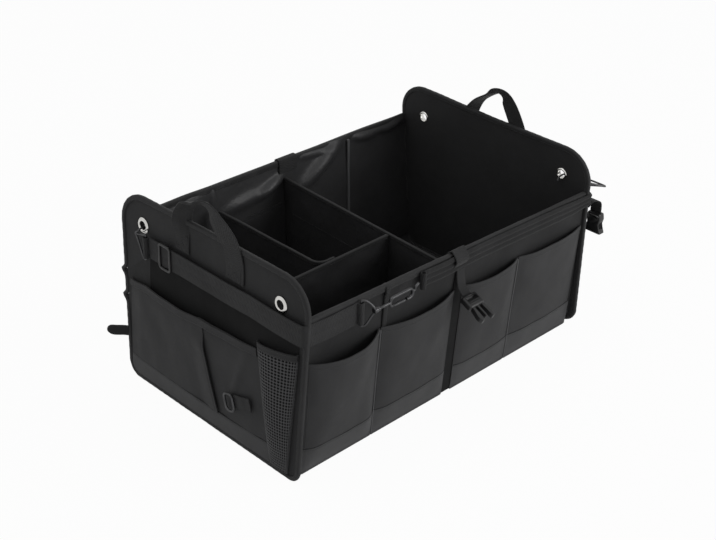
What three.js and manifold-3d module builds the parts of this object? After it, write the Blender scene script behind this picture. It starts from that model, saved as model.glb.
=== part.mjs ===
// Open car trunk organizer of sewn polyester: stiffened walls, outside pockets, a folding insert
// with dividers, two carry handles, four eyelets and two hooked webbing straps.
// Millimetres, +Z up, +X along the long side, +Y towards the back. Origin: middle of the underside.
import * as THREE from "three";
import { mergeVertices } from "three/addons/utils/BufferGeometryUtils.js";
import Module from "manifold-3d";

// Body
const baseLength = 620;
const topLength = 588;
const baseWidth = 362;
const topWidth = 400;
const endHeight = 310;
const rimHeight = 254;
const wallThickness = 4;
const gap = 0.3;
const endTopRadius = 48;
const footRadius = 24;
const foldX = 155;

// Bindings sewn over the edges
const bindingProud = 2;
const bindingReach = 6;
const bindingInside = 5.5;
const bindingOutside = 1.5;
const tape = 1.5;
const tapeDepth = 8;

// Floor
const panThickness = 3;
const boardThickness = 4;
const boardMargin = 12;

// Pockets
const cloth = 1.6;
const hemHeight = 9;
const hemProud = 0.8;
const pocketLow = 2;
const pocketRise = 140;
const pocketBelly = 55;
const frontPocketTop = 190;
const frontBows = [22, 14, 12, 10];
const frontBandTop = 46;
const frontSeams = [-293, -157, -5, 12, 138, 293];
const leftPocketTop = 176;
const leftBow = 11;
const leftBandTop = 38;
const leftSeams = [-175, 6, 101];
const meshTop = 190;
const meshTopHalf = 41;
const meshLowHalf = 20;
const meshTopIn = 48.64;
const meshLowIn = 31;
const meshFlatness = 0.38;
const meshRows = 15;
const meshColumns = 8;
const meshHole = 5;

// Insert dividers
const dividerTop = 222;
const dividerThickness = 3.6;
const dividerFootCut = 8;
const crossX = 4;
const longY = -58;
const shortX = -138;
const shortBend = 16;
const shortFlange = 14;
const backPanelTop = 178;

// Eyelets and handles
const eyeletDrop = 48;
const eyeletOffset = 147;
const eyeletHole = 6;
const eyeletBarrel = 7.2;
const eyeletFlange = 12.5;
const eyeletSheet = 1.5;
const handleHalf = 56;
const handleFootWidth = 32;
const handleFootDrop = 52;
const handleSpringDrop = 10;
const handleRise = 39;
const handleGrip = 18;
const handleGripThickness = 4;

// Webbing straps
const webbing = 1.8;
const leftStrapLow = 219;
const leftStrapWidth = 34;
const leftStrapOff = 3.34;
const leftStrapRear = 130;
const leftStrapEnd = -205;
const frontStrapLow = 226;
const frontStrapWidth = 26;
const frontStrapStart = -84;
const frontStrapOff = 0.83;
const strapCornerRadius = 9;
const rightStrapOff = 4.26;
const rightStrapReach = 18.2;
const loopOuter = 4.6;
const loopInner = 2.5;
const loopOut = 4;

// Metal wire and the swivel snap hook
const wire = 1.6;
const snapReach = 17;
const snapOut = 10.3;
const snapLift = 3;
const snapBarrel = 4.2;
const snapBarrelLength = 7;
const snapShank = 22;
const snapLength = 48;
const snapHalf = 8.5;
const snapThickness = 5;
const snapWall = 3.8;
const gateStart = 9;
const gateLength = 26;

// Slider on the left strap
const sliderY = 88;
const sliderLength = 26;
const sliderBar = 4;
const sliderRail = 3;
const sliderPlay = 0.5;

// Buckles on short webbing tails
const tailWidth = 20;
const buckleWidth = 30;
const buckleLength = 22;
const buckleThickness = 8;
const prongLength = 24;
const socketLength = 34;
const rearTailZ = 70;
const sideRingOff = 0.35;
const sideRingLow = 56;
const sideRingTop = 92;

const X = new THREE.Vector3(1, 0, 0);
const Y = new THREE.Vector3(0, 1, 0);
const Z = new THREE.Vector3(0, 0, 1);
const turned = { x: [Y, Z, X], y: [Z, X, Y], z: [X, Y, Z] };
const endSlope = (baseLength - topLength) / 2 / endHeight;
const sideSlope = (topWidth - baseWidth) / 2 / endHeight;
const halfLengthAt = (z) => baseLength / 2 - endSlope * z;
const halfWidthAt = (z) => baseWidth / 2 + sideSlope * z;
const wallEndAt = (z) => halfLengthAt(z) - bindingInside - gap;
const roomHalfAt = (z) => halfWidthAt(z) - wallThickness - 2 * gap;
const boardTop = panThickness + gap + boardThickness;
const meshTopU = halfWidthAt(meshTop) - meshTopIn;
const meshLowU = halfWidthAt(0) - meshLowIn;
const eyeletHeight = endHeight - eyeletDrop;
const handleFootLow = endHeight - handleFootDrop;
const handleSpring = endHeight - handleSpringDrop;
const handleTop = endHeight + handleRise;
const leftStrapTop = leftStrapLow + leftStrapWidth;
const leftStrapX = Math.max(halfLengthAt(leftStrapLow), halfLengthAt(leftStrapTop)) + leftStrapOff;
const frontStrapY = halfWidthAt(rimHeight) + gap + tape + frontStrapOff;
const rightStrapX = halfLengthAt(frontStrapLow) + rightStrapOff;
const rightStrapEnd = rightStrapReach - frontStrapY;
const snapX = leftStrapEnd + snapReach;
const snapY = -frontStrapY - loopOut - snapOut;
const snapZ = leftStrapLow + leftStrapWidth / 2 + snapLift;

const kernel = await Module();
kernel.setup();

const matte = (color, roughness, metalness = 0) =>
  new THREE.MeshStandardMaterial({ color, roughness, metalness });
const materials = {
  shell: matte("#3a3a3c", 0.85),
  pocket: matte("#404042", 0.85),
  band: matte("#4d4d50", 0.8),
  lining: matte("#28282a", 0.9),
  edge: matte("#38383a", 0.7),
  strap: matte("#2f2f31", 0.9),
  plastic: matte("#1d1d1f", 0.45),
  wire: matte("#3c3d40", 0.35, 0.9),
  nickel: matte("#d9d8d4", 0.25, 1),
};

const organizer = new THREE.Group();
organizer.name = "trunk_organizer";

// A frame standing on `foot`: x runs along the wall, y up it and z out of it.
function frame(out, foot, lean = 0) {
  const along = new THREE.Vector3().crossVectors(Z, out);
  const up = Z.clone().multiplyScalar(Math.cos(lean)).addScaledVector(out, Math.sin(lean));
  const normal = new THREE.Vector3().crossVectors(along, up);
  const group = new THREE.Group();
  group.quaternion.setFromRotationMatrix(new THREE.Matrix4().makeBasis(along, up, normal));
  group.position.copy(foot);
  organizer.add(group);
  return group;
}

const at = (x, y, z) => new THREE.Vector3(x, y, z);
const world = new THREE.Group();
organizer.add(world);
const frontSide = frame(at(0, -1, 0), at(0, -baseWidth / 2, 0), Math.atan(sideSlope));
const backSide = frame(at(0, 1, 0), at(0, baseWidth / 2, 0), Math.atan(sideSlope));
const leftSide = frame(at(-1, 0, 0), at(-baseLength / 2, 0, 0), -Math.atan(endSlope));
const rightSide = frame(at(1, 0, 0), at(baseLength / 2, 0, 0), -Math.atan(endSlope));

function add(parent, name, material, geometry) {
  const mesh = new THREE.Mesh(geometry, materials[material]);
  mesh.name = name;
  parent.add(mesh);
  return mesh;
}

function solid(geometry) {
  const bare = new THREE.BufferGeometry();
  bare.setAttribute("position", geometry.getAttribute("position"));
  bare.setIndex(geometry.index);
  const welded = mergeVertices(bare, 1e-4);
  return new kernel.Manifold(
    new kernel.Mesh({
      numProp: 3,
      vertProperties: new Float32Array(welded.getAttribute("position").array),
      triVerts: new Uint32Array(welded.index.array),
    }),
  );
}

function skin(body) {
  const mesh = body.getMesh();
  const geometry = new THREE.BufferGeometry();
  geometry.setAttribute("position", new THREE.BufferAttribute(new Float32Array(mesh.vertProperties), 3));
  geometry.setIndex(Array.from(mesh.triVerts));
  geometry.computeVertexNormals();
  return geometry;
}

const join = (...geometries) => skin(kernel.Manifold.union(geometries.map(solid)));
const without = (geometry, ...tools) =>
  skin(solid(geometry).subtract(kernel.Manifold.union(tools.map(solid))));

// A shape extruded along one axis; it is drawn in the two axes that follow that one in turn.
function prism(axis, shape, from, to, curveSegments = 5) {
  const settings = { depth: to - from, bevelEnabled: false, curveSegments };
  const geometry = new THREE.ExtrudeGeometry(shape, settings);
  geometry.translate(0, 0, from);
  return geometry.applyMatrix4(new THREE.Matrix4().makeBasis(...turned[axis]));
}

function box(low, high) {
  const size = at(...high).sub(at(...low));
  const middle = at(...high).add(at(...low)).multiplyScalar(0.5);
  return new THREE.BoxGeometry(size.x, size.y, size.z).translate(middle.x, middle.y, middle.z);
}

function rod(from, to, radius, sides = 12) {
  const reach = to.clone().sub(from);
  const geometry = new THREE.CylinderGeometry(radius, radius, reach.length(), sides);
  geometry.applyQuaternion(new THREE.Quaternion().setFromUnitVectors(Y, reach.clone().normalize()));
  const middle = from.clone().add(to).multiplyScalar(0.5);
  return geometry.translate(middle.x, middle.y, middle.z);
}

function bentWire(points, radius = wire, steps = 24) {
  const shape = new THREE.Shape().absarc(0, 0, radius, 0, 2 * Math.PI);
  const extrudePath = new THREE.CatmullRomCurve3(points, false, "centripetal");
  return new THREE.ExtrudeGeometry(shape, { steps, extrudePath, curveSegments: 5 });
}

// A closed outline through the corners, each rounded by an arc of its own radius.
function rounded(corners, radii, Kind = THREE.Shape) {
  const path = new Kind();
  corners.forEach(([x, y], i) => {
    const corner = new THREE.Vector2(x, y);
    const before = new THREE.Vector2(...corners.at(i - 1)).sub(corner).normalize();
    const after = new THREE.Vector2(...corners[(i + 1) % corners.length]).sub(corner).normalize();
    const half = Math.acos(before.dot(after)) / 2;
    const inward = before.clone().add(after).normalize();
    const middle = inward.multiplyScalar(radii[i] / Math.sin(half)).add(corner);
    const start = before.multiplyScalar(radii[i] / Math.tan(half)).add(corner).sub(middle);
    const end = after.multiplyScalar(radii[i] / Math.tan(half)).add(corner).sub(middle);
    path.absarc(middle.x, middle.y, radii[i], start.angle(), end.angle(), start.cross(end) < 0);
  });
  path.closePath();
  return path;
}

function outline(corners) {
  return new THREE.Shape(corners.map(([x, y]) => new THREE.Vector2(x, y)));
}

// End panels with their bindings, eyelets and handles

function endOutline(inset, Kind) {
  const low = gap + bindingProud + inset;
  const high = endHeight - bindingProud - inset;
  const lowHalf = halfWidthAt(low) - inset;
  const highHalf = halfWidthAt(high) - inset;
  const corners = [[-lowHalf, low], [lowHalf, low], [highHalf, high], [-highHalf, high]];
  const foot = footRadius - inset;
  const head = endTopRadius - inset;
  return rounded(corners, [foot, foot, head, head], Kind);
}

function endBinding() {
  const ring = endOutline(-bindingProud);
  ring.holes.push(endOutline(bindingReach, THREE.Path));
  const depth = bindingInside + bindingOutside - 4;
  return new THREE.ExtrudeGeometry(ring, {
    depth, curveSegments: 5, bevelThickness: 2, bevelSize: 2, bevelOffset: -2, bevelSegments: 2,
  }).translate(0, 0, 2 - bindingInside);
}

function endPanel() {
  const panel = prism("z", endOutline(bindingReach + gap), -wallThickness, 0);
  const holes = [-eyeletOffset, eyeletOffset].map((u) =>
    rod(at(u, eyeletHeight, -10), at(u, eyeletHeight, 10), eyeletBarrel + gap, 20));
  return without(panel, ...holes);
}

function eyelet(u) {
  const low = -wallThickness - gap;
  const lip = eyeletFlange - 1.2;
  const profile = [
    [eyeletHole, low - 0.5], [eyeletHole + 1, low - eyeletSheet], [lip, low - eyeletSheet],
    [eyeletFlange, low], [eyeletBarrel, low], [eyeletBarrel, gap], [eyeletFlange, gap],
    [lip, gap + eyeletSheet], [eyeletHole + 1, gap + eyeletSheet], [eyeletHole, gap + 0.5],
    [eyeletHole, low - 0.5],
  ];
  const geometry = new THREE.LatheGeometry(profile.map(([r, h]) => new THREE.Vector2(r, h)), 24);
  return geometry.rotateX(Math.PI / 2).translate(u, eyeletHeight, 0);
}

function handle() {
  const outer = handleHalf + handleGrip / 2;
  const inner = handleHalf - handleGrip / 2;
  const rise = handleTop - handleSpring;
  const arch = new THREE.Shape();
  arch.moveTo(outer, handleFootLow + 20);
  arch.lineTo(outer, handleSpring);
  arch.absellipse(0, handleSpring, outer, rise, 0, Math.PI, false);
  arch.lineTo(-outer, handleFootLow + 20);
  arch.lineTo(-inner, handleFootLow + 20);
  arch.lineTo(-inner, handleSpring);
  arch.absellipse(0, handleSpring, inner, rise - handleGrip, Math.PI, 0, true);
  arch.lineTo(inner, handleFootLow + 20);
  arch.closePath();
  const low = bindingOutside + gap;
  const feet = [-handleHalf, handleHalf].map((u) =>
    box(
      [u - handleFootWidth / 2, handleFootLow, gap],
      [u + handleFootWidth / 2, handleSpring - 6, low + webbing],
    ));
  return join(prism("z", arch, low, low + handleGripThickness, 9), ...feet);
}

for (const [side, name] of [[leftSide, "left"], [rightSide, "right"]]) {
  add(side, `${name}_panel`, "shell", endPanel());
  add(side, `${name}_binding`, "edge", endBinding());
  add(side, `${name}_eyelet_a`, "nickel", eyelet(-eyeletOffset));
  add(side, `${name}_eyelet_b`, "nickel", eyelet(eyeletOffset));
  add(side, `${name}_handle`, "strap", handle());
}

// Floor and long walls

function floorPan() {
  const outer = halfWidthAt(footRadius);
  const inner = outer - panThickness;
  const turn = footRadius - panThickness;
  const shape = new THREE.Shape();
  shape.moveTo(-outer, footRadius);
  shape.absarc(footRadius - outer, footRadius, footRadius, Math.PI, 1.5 * Math.PI, false);
  shape.absarc(outer - footRadius, footRadius, footRadius, 1.5 * Math.PI, 2 * Math.PI, false);
  shape.lineTo(inner, footRadius);
  shape.absarc(outer - footRadius, footRadius, turn, 2 * Math.PI, 1.5 * Math.PI, true);
  shape.absarc(footRadius - outer, footRadius, turn, 1.5 * Math.PI, Math.PI, true);
  shape.closePath();
  const half = wallEndAt(footRadius);
  return prism("x", shape, -half, half, 4);
}

function sideWall() {
  const low = footRadius + gap;
  const high = rimHeight - tape - gap;
  const corners = [
    [-wallEndAt(low), low], [wallEndAt(low), low], [wallEndAt(high), high], [-wallEndAt(high), high],
  ];
  return prism("z", outline(corners), -wallThickness, 0);
}

// A tape folded over a free edge at height `edge` whose faces are at `inside` and `outside`.
function foldedTape(edge, inside, outside, depth, thickness) {
  const low = inside - gap - thickness;
  const high = outside + gap + thickness;
  const top = edge + gap + thickness;
  const soft = thickness * 0.6;
  return outline([
    [edge - depth, low], [top - soft, low], [top, low + soft], [top, high - soft], [top - soft, high],
    [edge - depth, high], [edge - depth, outside + gap], [edge + gap, outside + gap],
    [edge + gap, inside - gap], [edge - depth, inside - gap],
  ]);
}

function rimBinding() {
  const shape = foldedTape(rimHeight - tape - gap, -wallThickness, 0, tapeDepth, tape);
  return prism("x", shape, -wallEndAt(rimHeight), wallEndAt(rimHeight));
}

function backWall() {
  const crease = (from, to) => rod(at(...from, -wallThickness), at(...to, -wallThickness), 2.2, 8);
  return join(
    sideWall(),
    crease([-foldX, 30], [-foldX, rimHeight - 16]),
    crease([-foldX + 4, rimHeight - 18], [-foldX + 83, rimHeight - 64]),
  );
}

add(world, "floor_pan", "shell", floorPan());
add(world, "base_board", "lining", box(
  [boardMargin - wallEndAt(0), footRadius - halfWidthAt(0), panThickness + gap],
  [wallEndAt(0) - boardMargin, halfWidthAt(0) - footRadius, boardTop],
));
add(frontSide, "front_wall", "shell", sideWall());
add(backSide, "back_wall", "lining", backWall());
add(frontSide, "front_rim_binding", "edge", rimBinding());
add(backSide, "back_rim_binding", "edge", rimBinding());

// Pockets: bowed sheets of cloth, open at the top

function bulge(from, to, bow, foot, low, top) {
  const half = (to - from) / 2;
  const radius = (half * half + bow * bow) / (2 * bow);
  const angle = Math.asin(half / radius);
  const plan = new THREE.Shape();
  plan.absarc(foot + bow - radius, (from + to) / 2, radius, -angle, angle, false);
  plan.closePath();
  const side = new THREE.Shape();
  side.moveTo(low, foot - 1);
  side.lineTo(low, foot);
  side.quadraticCurveTo(low + pocketBelly, foot + bow * 0.55, low + pocketRise, foot + bow + 1);
  side.lineTo(top, foot + bow + 1);
  side.lineTo(top, foot - 1);
  side.closePath();
  return solid(prism("y", plan, low, top, 7)).intersect(solid(prism("x", side, from, to, 7)));
}

function bowedSheet(from, to, bow, top) {
  const outer = bulge(from, to, bow, gap, pocketLow, top);
  const hem = bulge(from, to, bow + hemProud, gap, pocketLow, top).trimByPlane([0, 1, 0], top - hemHeight);
  const edge = 2 * cloth;
  const room = bulge(from + edge, to - edge, bow - cloth + 1, gap - 1, pocketLow + cloth, top + 5);
  return outer.add(hem).subtract(room);
}

function baseBand(sheets, top, from, to) {
  const strip = solid(box([from, pocketLow, gap], [to, top, gap + 1.2]));
  return skin(kernel.Manifold.union([strip, ...sheets]).trimByPlane([0, -1, 0], -top));
}

const frontRuns = [[0, 1], [1, 2], [3, 4], [4, 5]];
const frontSheets = frontRuns.map(([a, b], i) =>
  bowedSheet(frontSeams[a] + 1, frontSeams[b] - 1, frontBows[i], frontPocketTop));
frontSheets.forEach((sheet, i) => {
  const upper = sheet.trimByPlane([0, 1, 0], frontBandTop + gap);
  add(frontSide, `front_pocket_${i + 1}`, "pocket", skin(upper));
});
add(frontSide, "front_base_band", "band",
  baseBand(frontSheets, frontBandTop, frontSeams.at(0) - 6, frontSeams.at(-1) + 6));

const leftSheet = kernel.Manifold.union([
  bowedSheet(leftSeams[0], leftSeams[1] + 4, leftBow, leftPocketTop),
  bowedSheet(leftSeams[1] - 4, leftSeams[2], leftBow, leftPocketTop),
]);
const endRoom = solid(prism("z", endOutline(bindingReach + 2 * gap), -2, 60));
const leftUpper = leftSheet.intersect(endRoom).trimByPlane([0, 1, 0], leftBandTop + gap);
add(leftSide, "left_pocket", "pocket", skin(leftUpper));
const leftBand = solid(baseBand([leftSheet], leftBandTop, leftSeams[0] + 1, leftSeams[2] + 14));
add(leftSide, "left_base_band", "band", skin(leftBand.intersect(endRoom)));

// Mesh pocket: part of a flattened cone, narrower at the foot

function meshCone(grow, low, high) {
  const height = meshTop - pocketLow;
  const cone = new THREE.CylinderGeometry(meshTopHalf + grow, meshLowHalf + grow, height, 40);
  cone.scale(1, 1, meshFlatness).translate(0, height / 2 + pocketLow, gap);
  const lean = new THREE.Matrix4().makeShear(0, 0, (meshTopU - meshLowU) / meshTop, 0, 0, 0);
  cone.applyMatrix4(lean).translate(meshLowU, 0, 0);
  const front = solid(cone).trimByPlane([0, 0, 1], low);
  return front.trimByPlane([0, 1, 0], high);
}

function meshRoom(low) {
  const side = new THREE.Shape();
  side.moveTo(low, -1);
  side.quadraticCurveTo(low + 6, 16, low + 60, 40);
  side.lineTo(meshTop + 5, 40);
  side.lineTo(meshTop + 5, -1);
  side.closePath();
  return solid(prism("x", side, meshLowU - 90, meshTopU + 76, 6));
}

function meshSheet(grow) {
  const outer = meshCone(grow, gap, 0).intersect(meshRoom(pocketLow));
  const room = meshCone(-2.4, -2, 0).intersect(meshRoom(pocketLow + cloth));
  return outer.subtract(room).intersect(endRoom);
}

function meshHoles() {
  const holes = [];
  for (let row = 0; row < meshRows; row += 1) {
    const v = 16 + (row * (meshTop - 44)) / (meshRows - 1);
    const part = v / meshTop;
    const middle = meshLowU + (meshTopU - meshLowU) * part;
    const half = meshLowHalf + (meshTopHalf - meshLowHalf) * part;
    for (let column = 0; column < meshColumns; column += 1) {
      const u = middle + half * 0.74 * ((2 * column) / (meshColumns - 1) - 1);
      const size = Math.min(meshHole, half * 0.13);
      const wide = size * 0.6;
      const tall = meshHole * 0.7;
      const diamond = outline([[u - wide, v], [u, v - tall], [u + wide, v], [u, v + tall]]);
      holes.push(solid(prism("z", diamond, 1.5, 40)));
    }
  }
  return kernel.Manifold.union(holes);
}

const meshHemLow = meshTop - 13;
add(leftSide, "mesh_pocket", "pocket",
  skin(meshSheet(0).trimByPlane([0, -1, 0], gap - meshHemLow).subtract(meshHoles())));
add(leftSide, "mesh_hem", "edge", skin(meshSheet(0.8).trimByPlane([0, 1, 0], meshHemLow)));

// Insert: three dividers standing on the board and a low panel against the back wall

function bead() {
  return foldedTape(dividerTop, -dividerThickness / 2, dividerThickness / 2, 7, 1.2);
}

function divider(parent, name, startAt, endAt, footCut) {
  const low = boardTop + gap;
  const corners = [
    [startAt(low) + footCut, low], [endAt(low) - footCut, low], [endAt(footRadius), footRadius],
    [endAt(dividerTop), dividerTop], [startAt(dividerTop), dividerTop], [startAt(footRadius), footRadius],
  ];
  const half = dividerThickness / 2;
  add(parent, name, "lining", prism("z", outline(corners), -half, half));
  add(parent, `${name}_binding`, "edge", prism("x", bead(), startAt(dividerTop), endAt(dividerTop)));
}

const divisionClear = dividerThickness / 2 + 1.8;
const crossFrame = frame(at(-1, 0, 0), at(crossX, 0, 0));
const longFrame = frame(at(0, -1, 0), at(0, longY, 0));
divider(crossFrame, "cross_divider", (z) => -roomHalfAt(z), (z) => roomHalfAt(z), dividerFootCut);
divider(longFrame, "long_divider", (z) => gap - wallEndAt(z), () => crossX - divisionClear, 0);

function shortStrip(thickness) {
  const half = thickness / 2;
  const rear = roomHalfAt(boardTop) - dividerFootCut;
  const front = longY + divisionClear + dividerThickness / 2 + 1.2;
  const turn = front + shortBend;
  const middle = shortX + shortBend;
  const shape = new THREE.Shape();
  shape.moveTo(shortX - half, rear);
  shape.lineTo(shortX - half, turn);
  shape.absarc(middle, turn, shortBend + half, Math.PI, 1.5 * Math.PI, false);
  shape.lineTo(middle + shortFlange, front - half);
  shape.lineTo(middle + shortFlange, front + half);
  shape.absarc(middle, turn, shortBend - half, 1.5 * Math.PI, Math.PI, true);
  shape.lineTo(shortX + half, rear);
  shape.closePath();
  return shape;
}

add(world, "short_divider", "lining",
  prism("z", shortStrip(dividerThickness), boardTop + gap, dividerTop - 2));
add(world, "short_divider_binding", "edge",
  prism("z", shortStrip(dividerThickness + 2), dividerTop - 2 + gap, dividerTop + 1));

const panelInside = -wallThickness - gap;
add(backSide, "insert_back_panel", "lining", box(
  [dividerThickness / 2 + gap - crossX, boardTop + 14, panelInside - 2.7],
  [-shortX - dividerThickness / 2 - gap, backPanelTop, panelInside - 0.3],
));

// Tabs folded over the rims
const rimTop = rimHeight - tape - gap;
const tabInside = -wallThickness - gap - tape;
function rimTab(parent, name, from, to, outside, depth) {
  const shape = foldedTape(rimTop + tape + gap, tabInside, outside, depth, 1.8);
  add(parent, name, "strap", prism("x", shape, from, to));
}
rimTab(backSide, "back_tab", -crossX - 34, -crossX + 4, gap + tape, 22);
rimTab(frontSide, "front_tab", -22, 8, 5.4, 19);
rimTab(frontSide, "rim_tab", 1 - foldX, 9 - foldX, gap + tape, 12);

// Straps of webbing, drawn from above and extruded upwards

function loopEnd(x, y, low, high) {
  const ring = new THREE.Shape().absarc(x, y, loopOuter, 0, 2 * Math.PI);
  ring.holes.push(new THREE.Path().absarc(x, y, loopInner, 0, 2 * Math.PI));
  return prism("z", ring, low, high, 8);
}

function cornerTurn(x, y, start, low, high) {
  const shape = new THREE.Shape();
  shape.absarc(x, y, strapCornerRadius, start, start + Math.PI / 2, false);
  shape.absarc(x, y, strapCornerRadius - webbing, start + Math.PI / 2, start, true);
  shape.closePath();
  return prism("z", shape, low, high, 6);
}

function leftStrap() {
  const low = leftStrapLow;
  const high = leftStrapLow + leftStrapWidth;
  const outX = -leftStrapX - webbing;
  const outY = -frontStrapY - webbing;
  const cornerX = outX + strapCornerRadius;
  const cornerY = outY + strapCornerRadius;
  return join(
    box([outX, cornerY, low], [-leftStrapX, leftStrapRear - 3, high]),
    cornerTurn(cornerX, cornerY, Math.PI, low, high),
    box([cornerX, outY, low], [leftStrapEnd - 3, -frontStrapY, high]),
    loopEnd(-leftStrapX - loopOut, leftStrapRear, low, high),
    loopEnd(leftStrapEnd, -frontStrapY - loopOut, low, high),
  );
}

function frontStrap() {
  const low = frontStrapLow;
  const high = frontStrapLow + frontStrapWidth;
  const outX = rightStrapX + webbing;
  const outY = -frontStrapY - webbing;
  const cornerX = outX - strapCornerRadius;
  const cornerY = outY + strapCornerRadius;
  return join(
    box([frontStrapStart + 3, outY, low], [cornerX, -frontStrapY, high]),
    cornerTurn(cornerX, cornerY, 1.5 * Math.PI, low, high),
    box([rightStrapX, cornerY, low], [outX, rightStrapEnd - 3, high]),
    loopEnd(rightStrapX + loopOut, rightStrapEnd, low, high),
    loopEnd(frontStrapStart, -frontStrapY - loopOut, low, high),
  );
}

add(world, "left_strap", "strap", leftStrap());
add(world, "front_strap", "strap", frontStrap());

// Wire hook: a bar in the webbing loop, two arms to an apex and a tip through the eyelet
function eyeletHook(side, barX, barY, low, high, apex) {
  const holeY = Math.sign(barY) * eyeletOffset;
  const holeZ = eyeletHeight - eyeletHole + wire + 0.7;
  const faceX = halfLengthAt(eyeletHeight);
  const middle = (low + high) / 2;
  const turnX = side * Math.min(Math.abs(apex.x), faceX + 17);
  return join(
    rod(at(side * barX, barY, low), at(side * barX, barY, high), wire, 10),
    bentWire([at(side * barX, barY, high), apex, at(turnX, holeY, holeZ - 2),
      at(side * (faceX + 5), holeY, holeZ), at(side * (faceX - 8), holeY, holeZ),
      at(side * (faceX - 13), holeY, holeZ - 6)]),
    bentWire([
      at(side * barX, barY, low), at(side * barX, barY + 7, low), at(turnX, barY + 16, middle), apex,
    ], wire, 12),
  );
}

const rearApex = at(-leftStrapX - 4, eyeletOffset + 6, leftStrapTop - 3);
add(world, "rear_hook", "wire", eyeletHook(-1, leftStrapX + loopOut, leftStrapRear,
  leftStrapLow - 2, leftStrapLow + leftStrapWidth + 3, rearApex));
const cornerApex = at(rightStrapX + 40, -eyeletOffset - 46, frontStrapLow + frontStrapWidth - 3);
add(world, "corner_hook", "wire", eyeletHook(1, rightStrapX + loopOut, rightStrapEnd,
  frontStrapLow - 2, frontStrapLow + frontStrapWidth + 3, cornerApex));

// Swivel snap hook: eye in the strap loop, turning body, sprung gate
const snapFrame = frame(at(0, -1, 0), at(snapX, snapY, snapZ));
const snapMiddle = leftStrapLow + leftStrapWidth / 2 - snapZ;
const eyeReach = leftStrapWidth / 2 + 2.5;
const eyeBack = snapY + frontStrapY + loopOut;

function snapEye() {
  const barU = leftStrapEnd - snapX;
  const end = (sign) => at(barU, snapMiddle + sign * eyeReach, eyeBack);
  const arm = (sign) => bentWire([end(sign), at(barU + 6, snapMiddle + sign * (eyeReach - 1), eyeBack * 0.7),
    at(barU + 13, sign * 8, eyeBack * 0.25), at(0, sign * 2, 0)], wire, 10);
  const barrel = rod(at(-snapBarrelLength / 2, 0, 0), at(snapBarrelLength / 2, 0, 0), snapBarrel, 16);
  return join(rod(end(-1), end(1), wire, 10), arm(-1), arm(1), barrel);
}

const ringStart = snapBarrelLength / 2 + snapShank;
const ringEnd = ringStart + snapLength;
const gateU = ringStart + gateStart;
const gateV = -snapHalf + snapWall / 2;

function snapBody() {
  const face = snapBarrelLength / 2 + gap;
  const corners = (inset) => [
    [ringStart + inset, -snapHalf + inset], [ringEnd - inset, -snapHalf + inset],
    [ringEnd - inset, snapHalf - inset], [ringStart + inset, snapHalf - inset],
  ];
  const ring = rounded(corners(0), Array(4).fill(snapHalf - 0.2));
  ring.holes.push(rounded(corners(snapWall), Array(4).fill(snapHalf - snapWall - 0.2), THREE.Path));
  const half = snapThickness / 2;
  const mouthEnd = gateU + gateLength - snapWall / 2 + 2 * gap;
  const opening = box([gateU - 2.6, -snapHalf - 1, -4], [mouthEnd, snapWall - snapHalf + 1, 4]);
  const body = without(prism("z", ring, -half, half, 5), opening);
  return join(
    body,
    rod(at(face, 0, 0), at(face + 4, 0, 0), 3.4, 14),
    rod(at(face, 0, 0), at(ringStart + 2, 0, 0), 2.2, 10),
    bentWire([
      at(ringEnd - 2.5, 0, 0), at(ringEnd + 2, 2, 0), at(ringEnd + 4, 6, 0), at(ringEnd + 9, 9, 0),
    ], 1.9, 8),
  );
}

function snapGate() {
  const half = snapWall / 2 - 0.1;
  const corners = [[0, -half], [gateLength, -half], [gateLength, half], [0, half]];
  const plate = rounded(corners, Array(4).fill(half - 0.1));
  return prism("z", plate, -snapThickness / 2, snapThickness / 2, 3).translate(gateU - half, gateV, 0);
}

add(snapFrame, "snap_eye", "wire", snapEye());
add(snapFrame, "snap_body", "wire", snapBody());
add(snapFrame, "snap_gate", "wire", snapGate());

// Three-bar slider threaded on the left strap
function slider() {
  const low = leftStrapLow - sliderPlay;
  const high = leftStrapLow + leftStrapWidth + sliderPlay;
  const inner = leftStrapX - sliderPlay;
  const outer = leftStrapX + webbing + sliderPlay;
  const back = sliderY - sliderLength / 2;
  const fore = sliderY + sliderLength / 2;
  const rail = (z) => box([-outer - 2.6, back, z], [-inner + 2, fore, z + sliderRail]);
  const bar = (y, from, to) => box([-to, y, low - 1], [-from, y + sliderBar, high + 1]);
  return join(
    rail(low - sliderRail), rail(high),
    bar(back, outer, outer + 2.6), bar(fore - sliderBar, outer, outer + 2.6),
    bar(sliderY - sliderBar / 2, inner - 2, inner),
  );
}
add(world, "slider", "plastic", slider());

// Side-release buckle halves on webbing tails; x is across, y is towards the tip

function tail(points, width, thickness = webbing) {
  const curve = new THREE.SplineCurve(points.map(([x, y]) => new THREE.Vector2(x, y)));
  const line = curve.getPoints(12);
  const sides = [1, -1].map((sign) => line.map((point, i) => {
    const ahead = curve.getTangent(i / 12);
    return [point.x - (sign * ahead.y * thickness) / 2, point.y + (sign * ahead.x * thickness) / 2];
  }));
  return prism("x", outline([...sides[0], ...sides[1].reverse()]), -width / 2, width / 2);
}

function plug() {
  const half = buckleThickness / 2;
  const w = buckleWidth / 2;
  const shape = rounded([[-w, 0], [w, 0], [w, buckleLength], [-w, buckleLength]], [3, 3, 3, 3]);
  const body = prism("z", shape, -half, half, 3);
  const slot = box([-tailWidth / 2 - 0.5, 3, -half - 1], [tailWidth / 2 + 0.5, 8, half + 1]);
  const prong = (sign) => prism("z", outline([
    [sign * (w - 8), buckleLength - 1], [sign * (w - 4), buckleLength - 1],
    [sign * w, buckleLength + prongLength - 9],
    [sign * (w - 2), buckleLength + prongLength], [sign * (w - 7), buckleLength + prongLength],
  ]), 1 - half, half - 1);
  const guide = box([-2, buckleLength - 1, 1.5 - half], [2, buckleLength + prongLength - 4, half - 1.5]);
  return join(without(body, slot), prong(-1), prong(1), guide);
}

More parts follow.
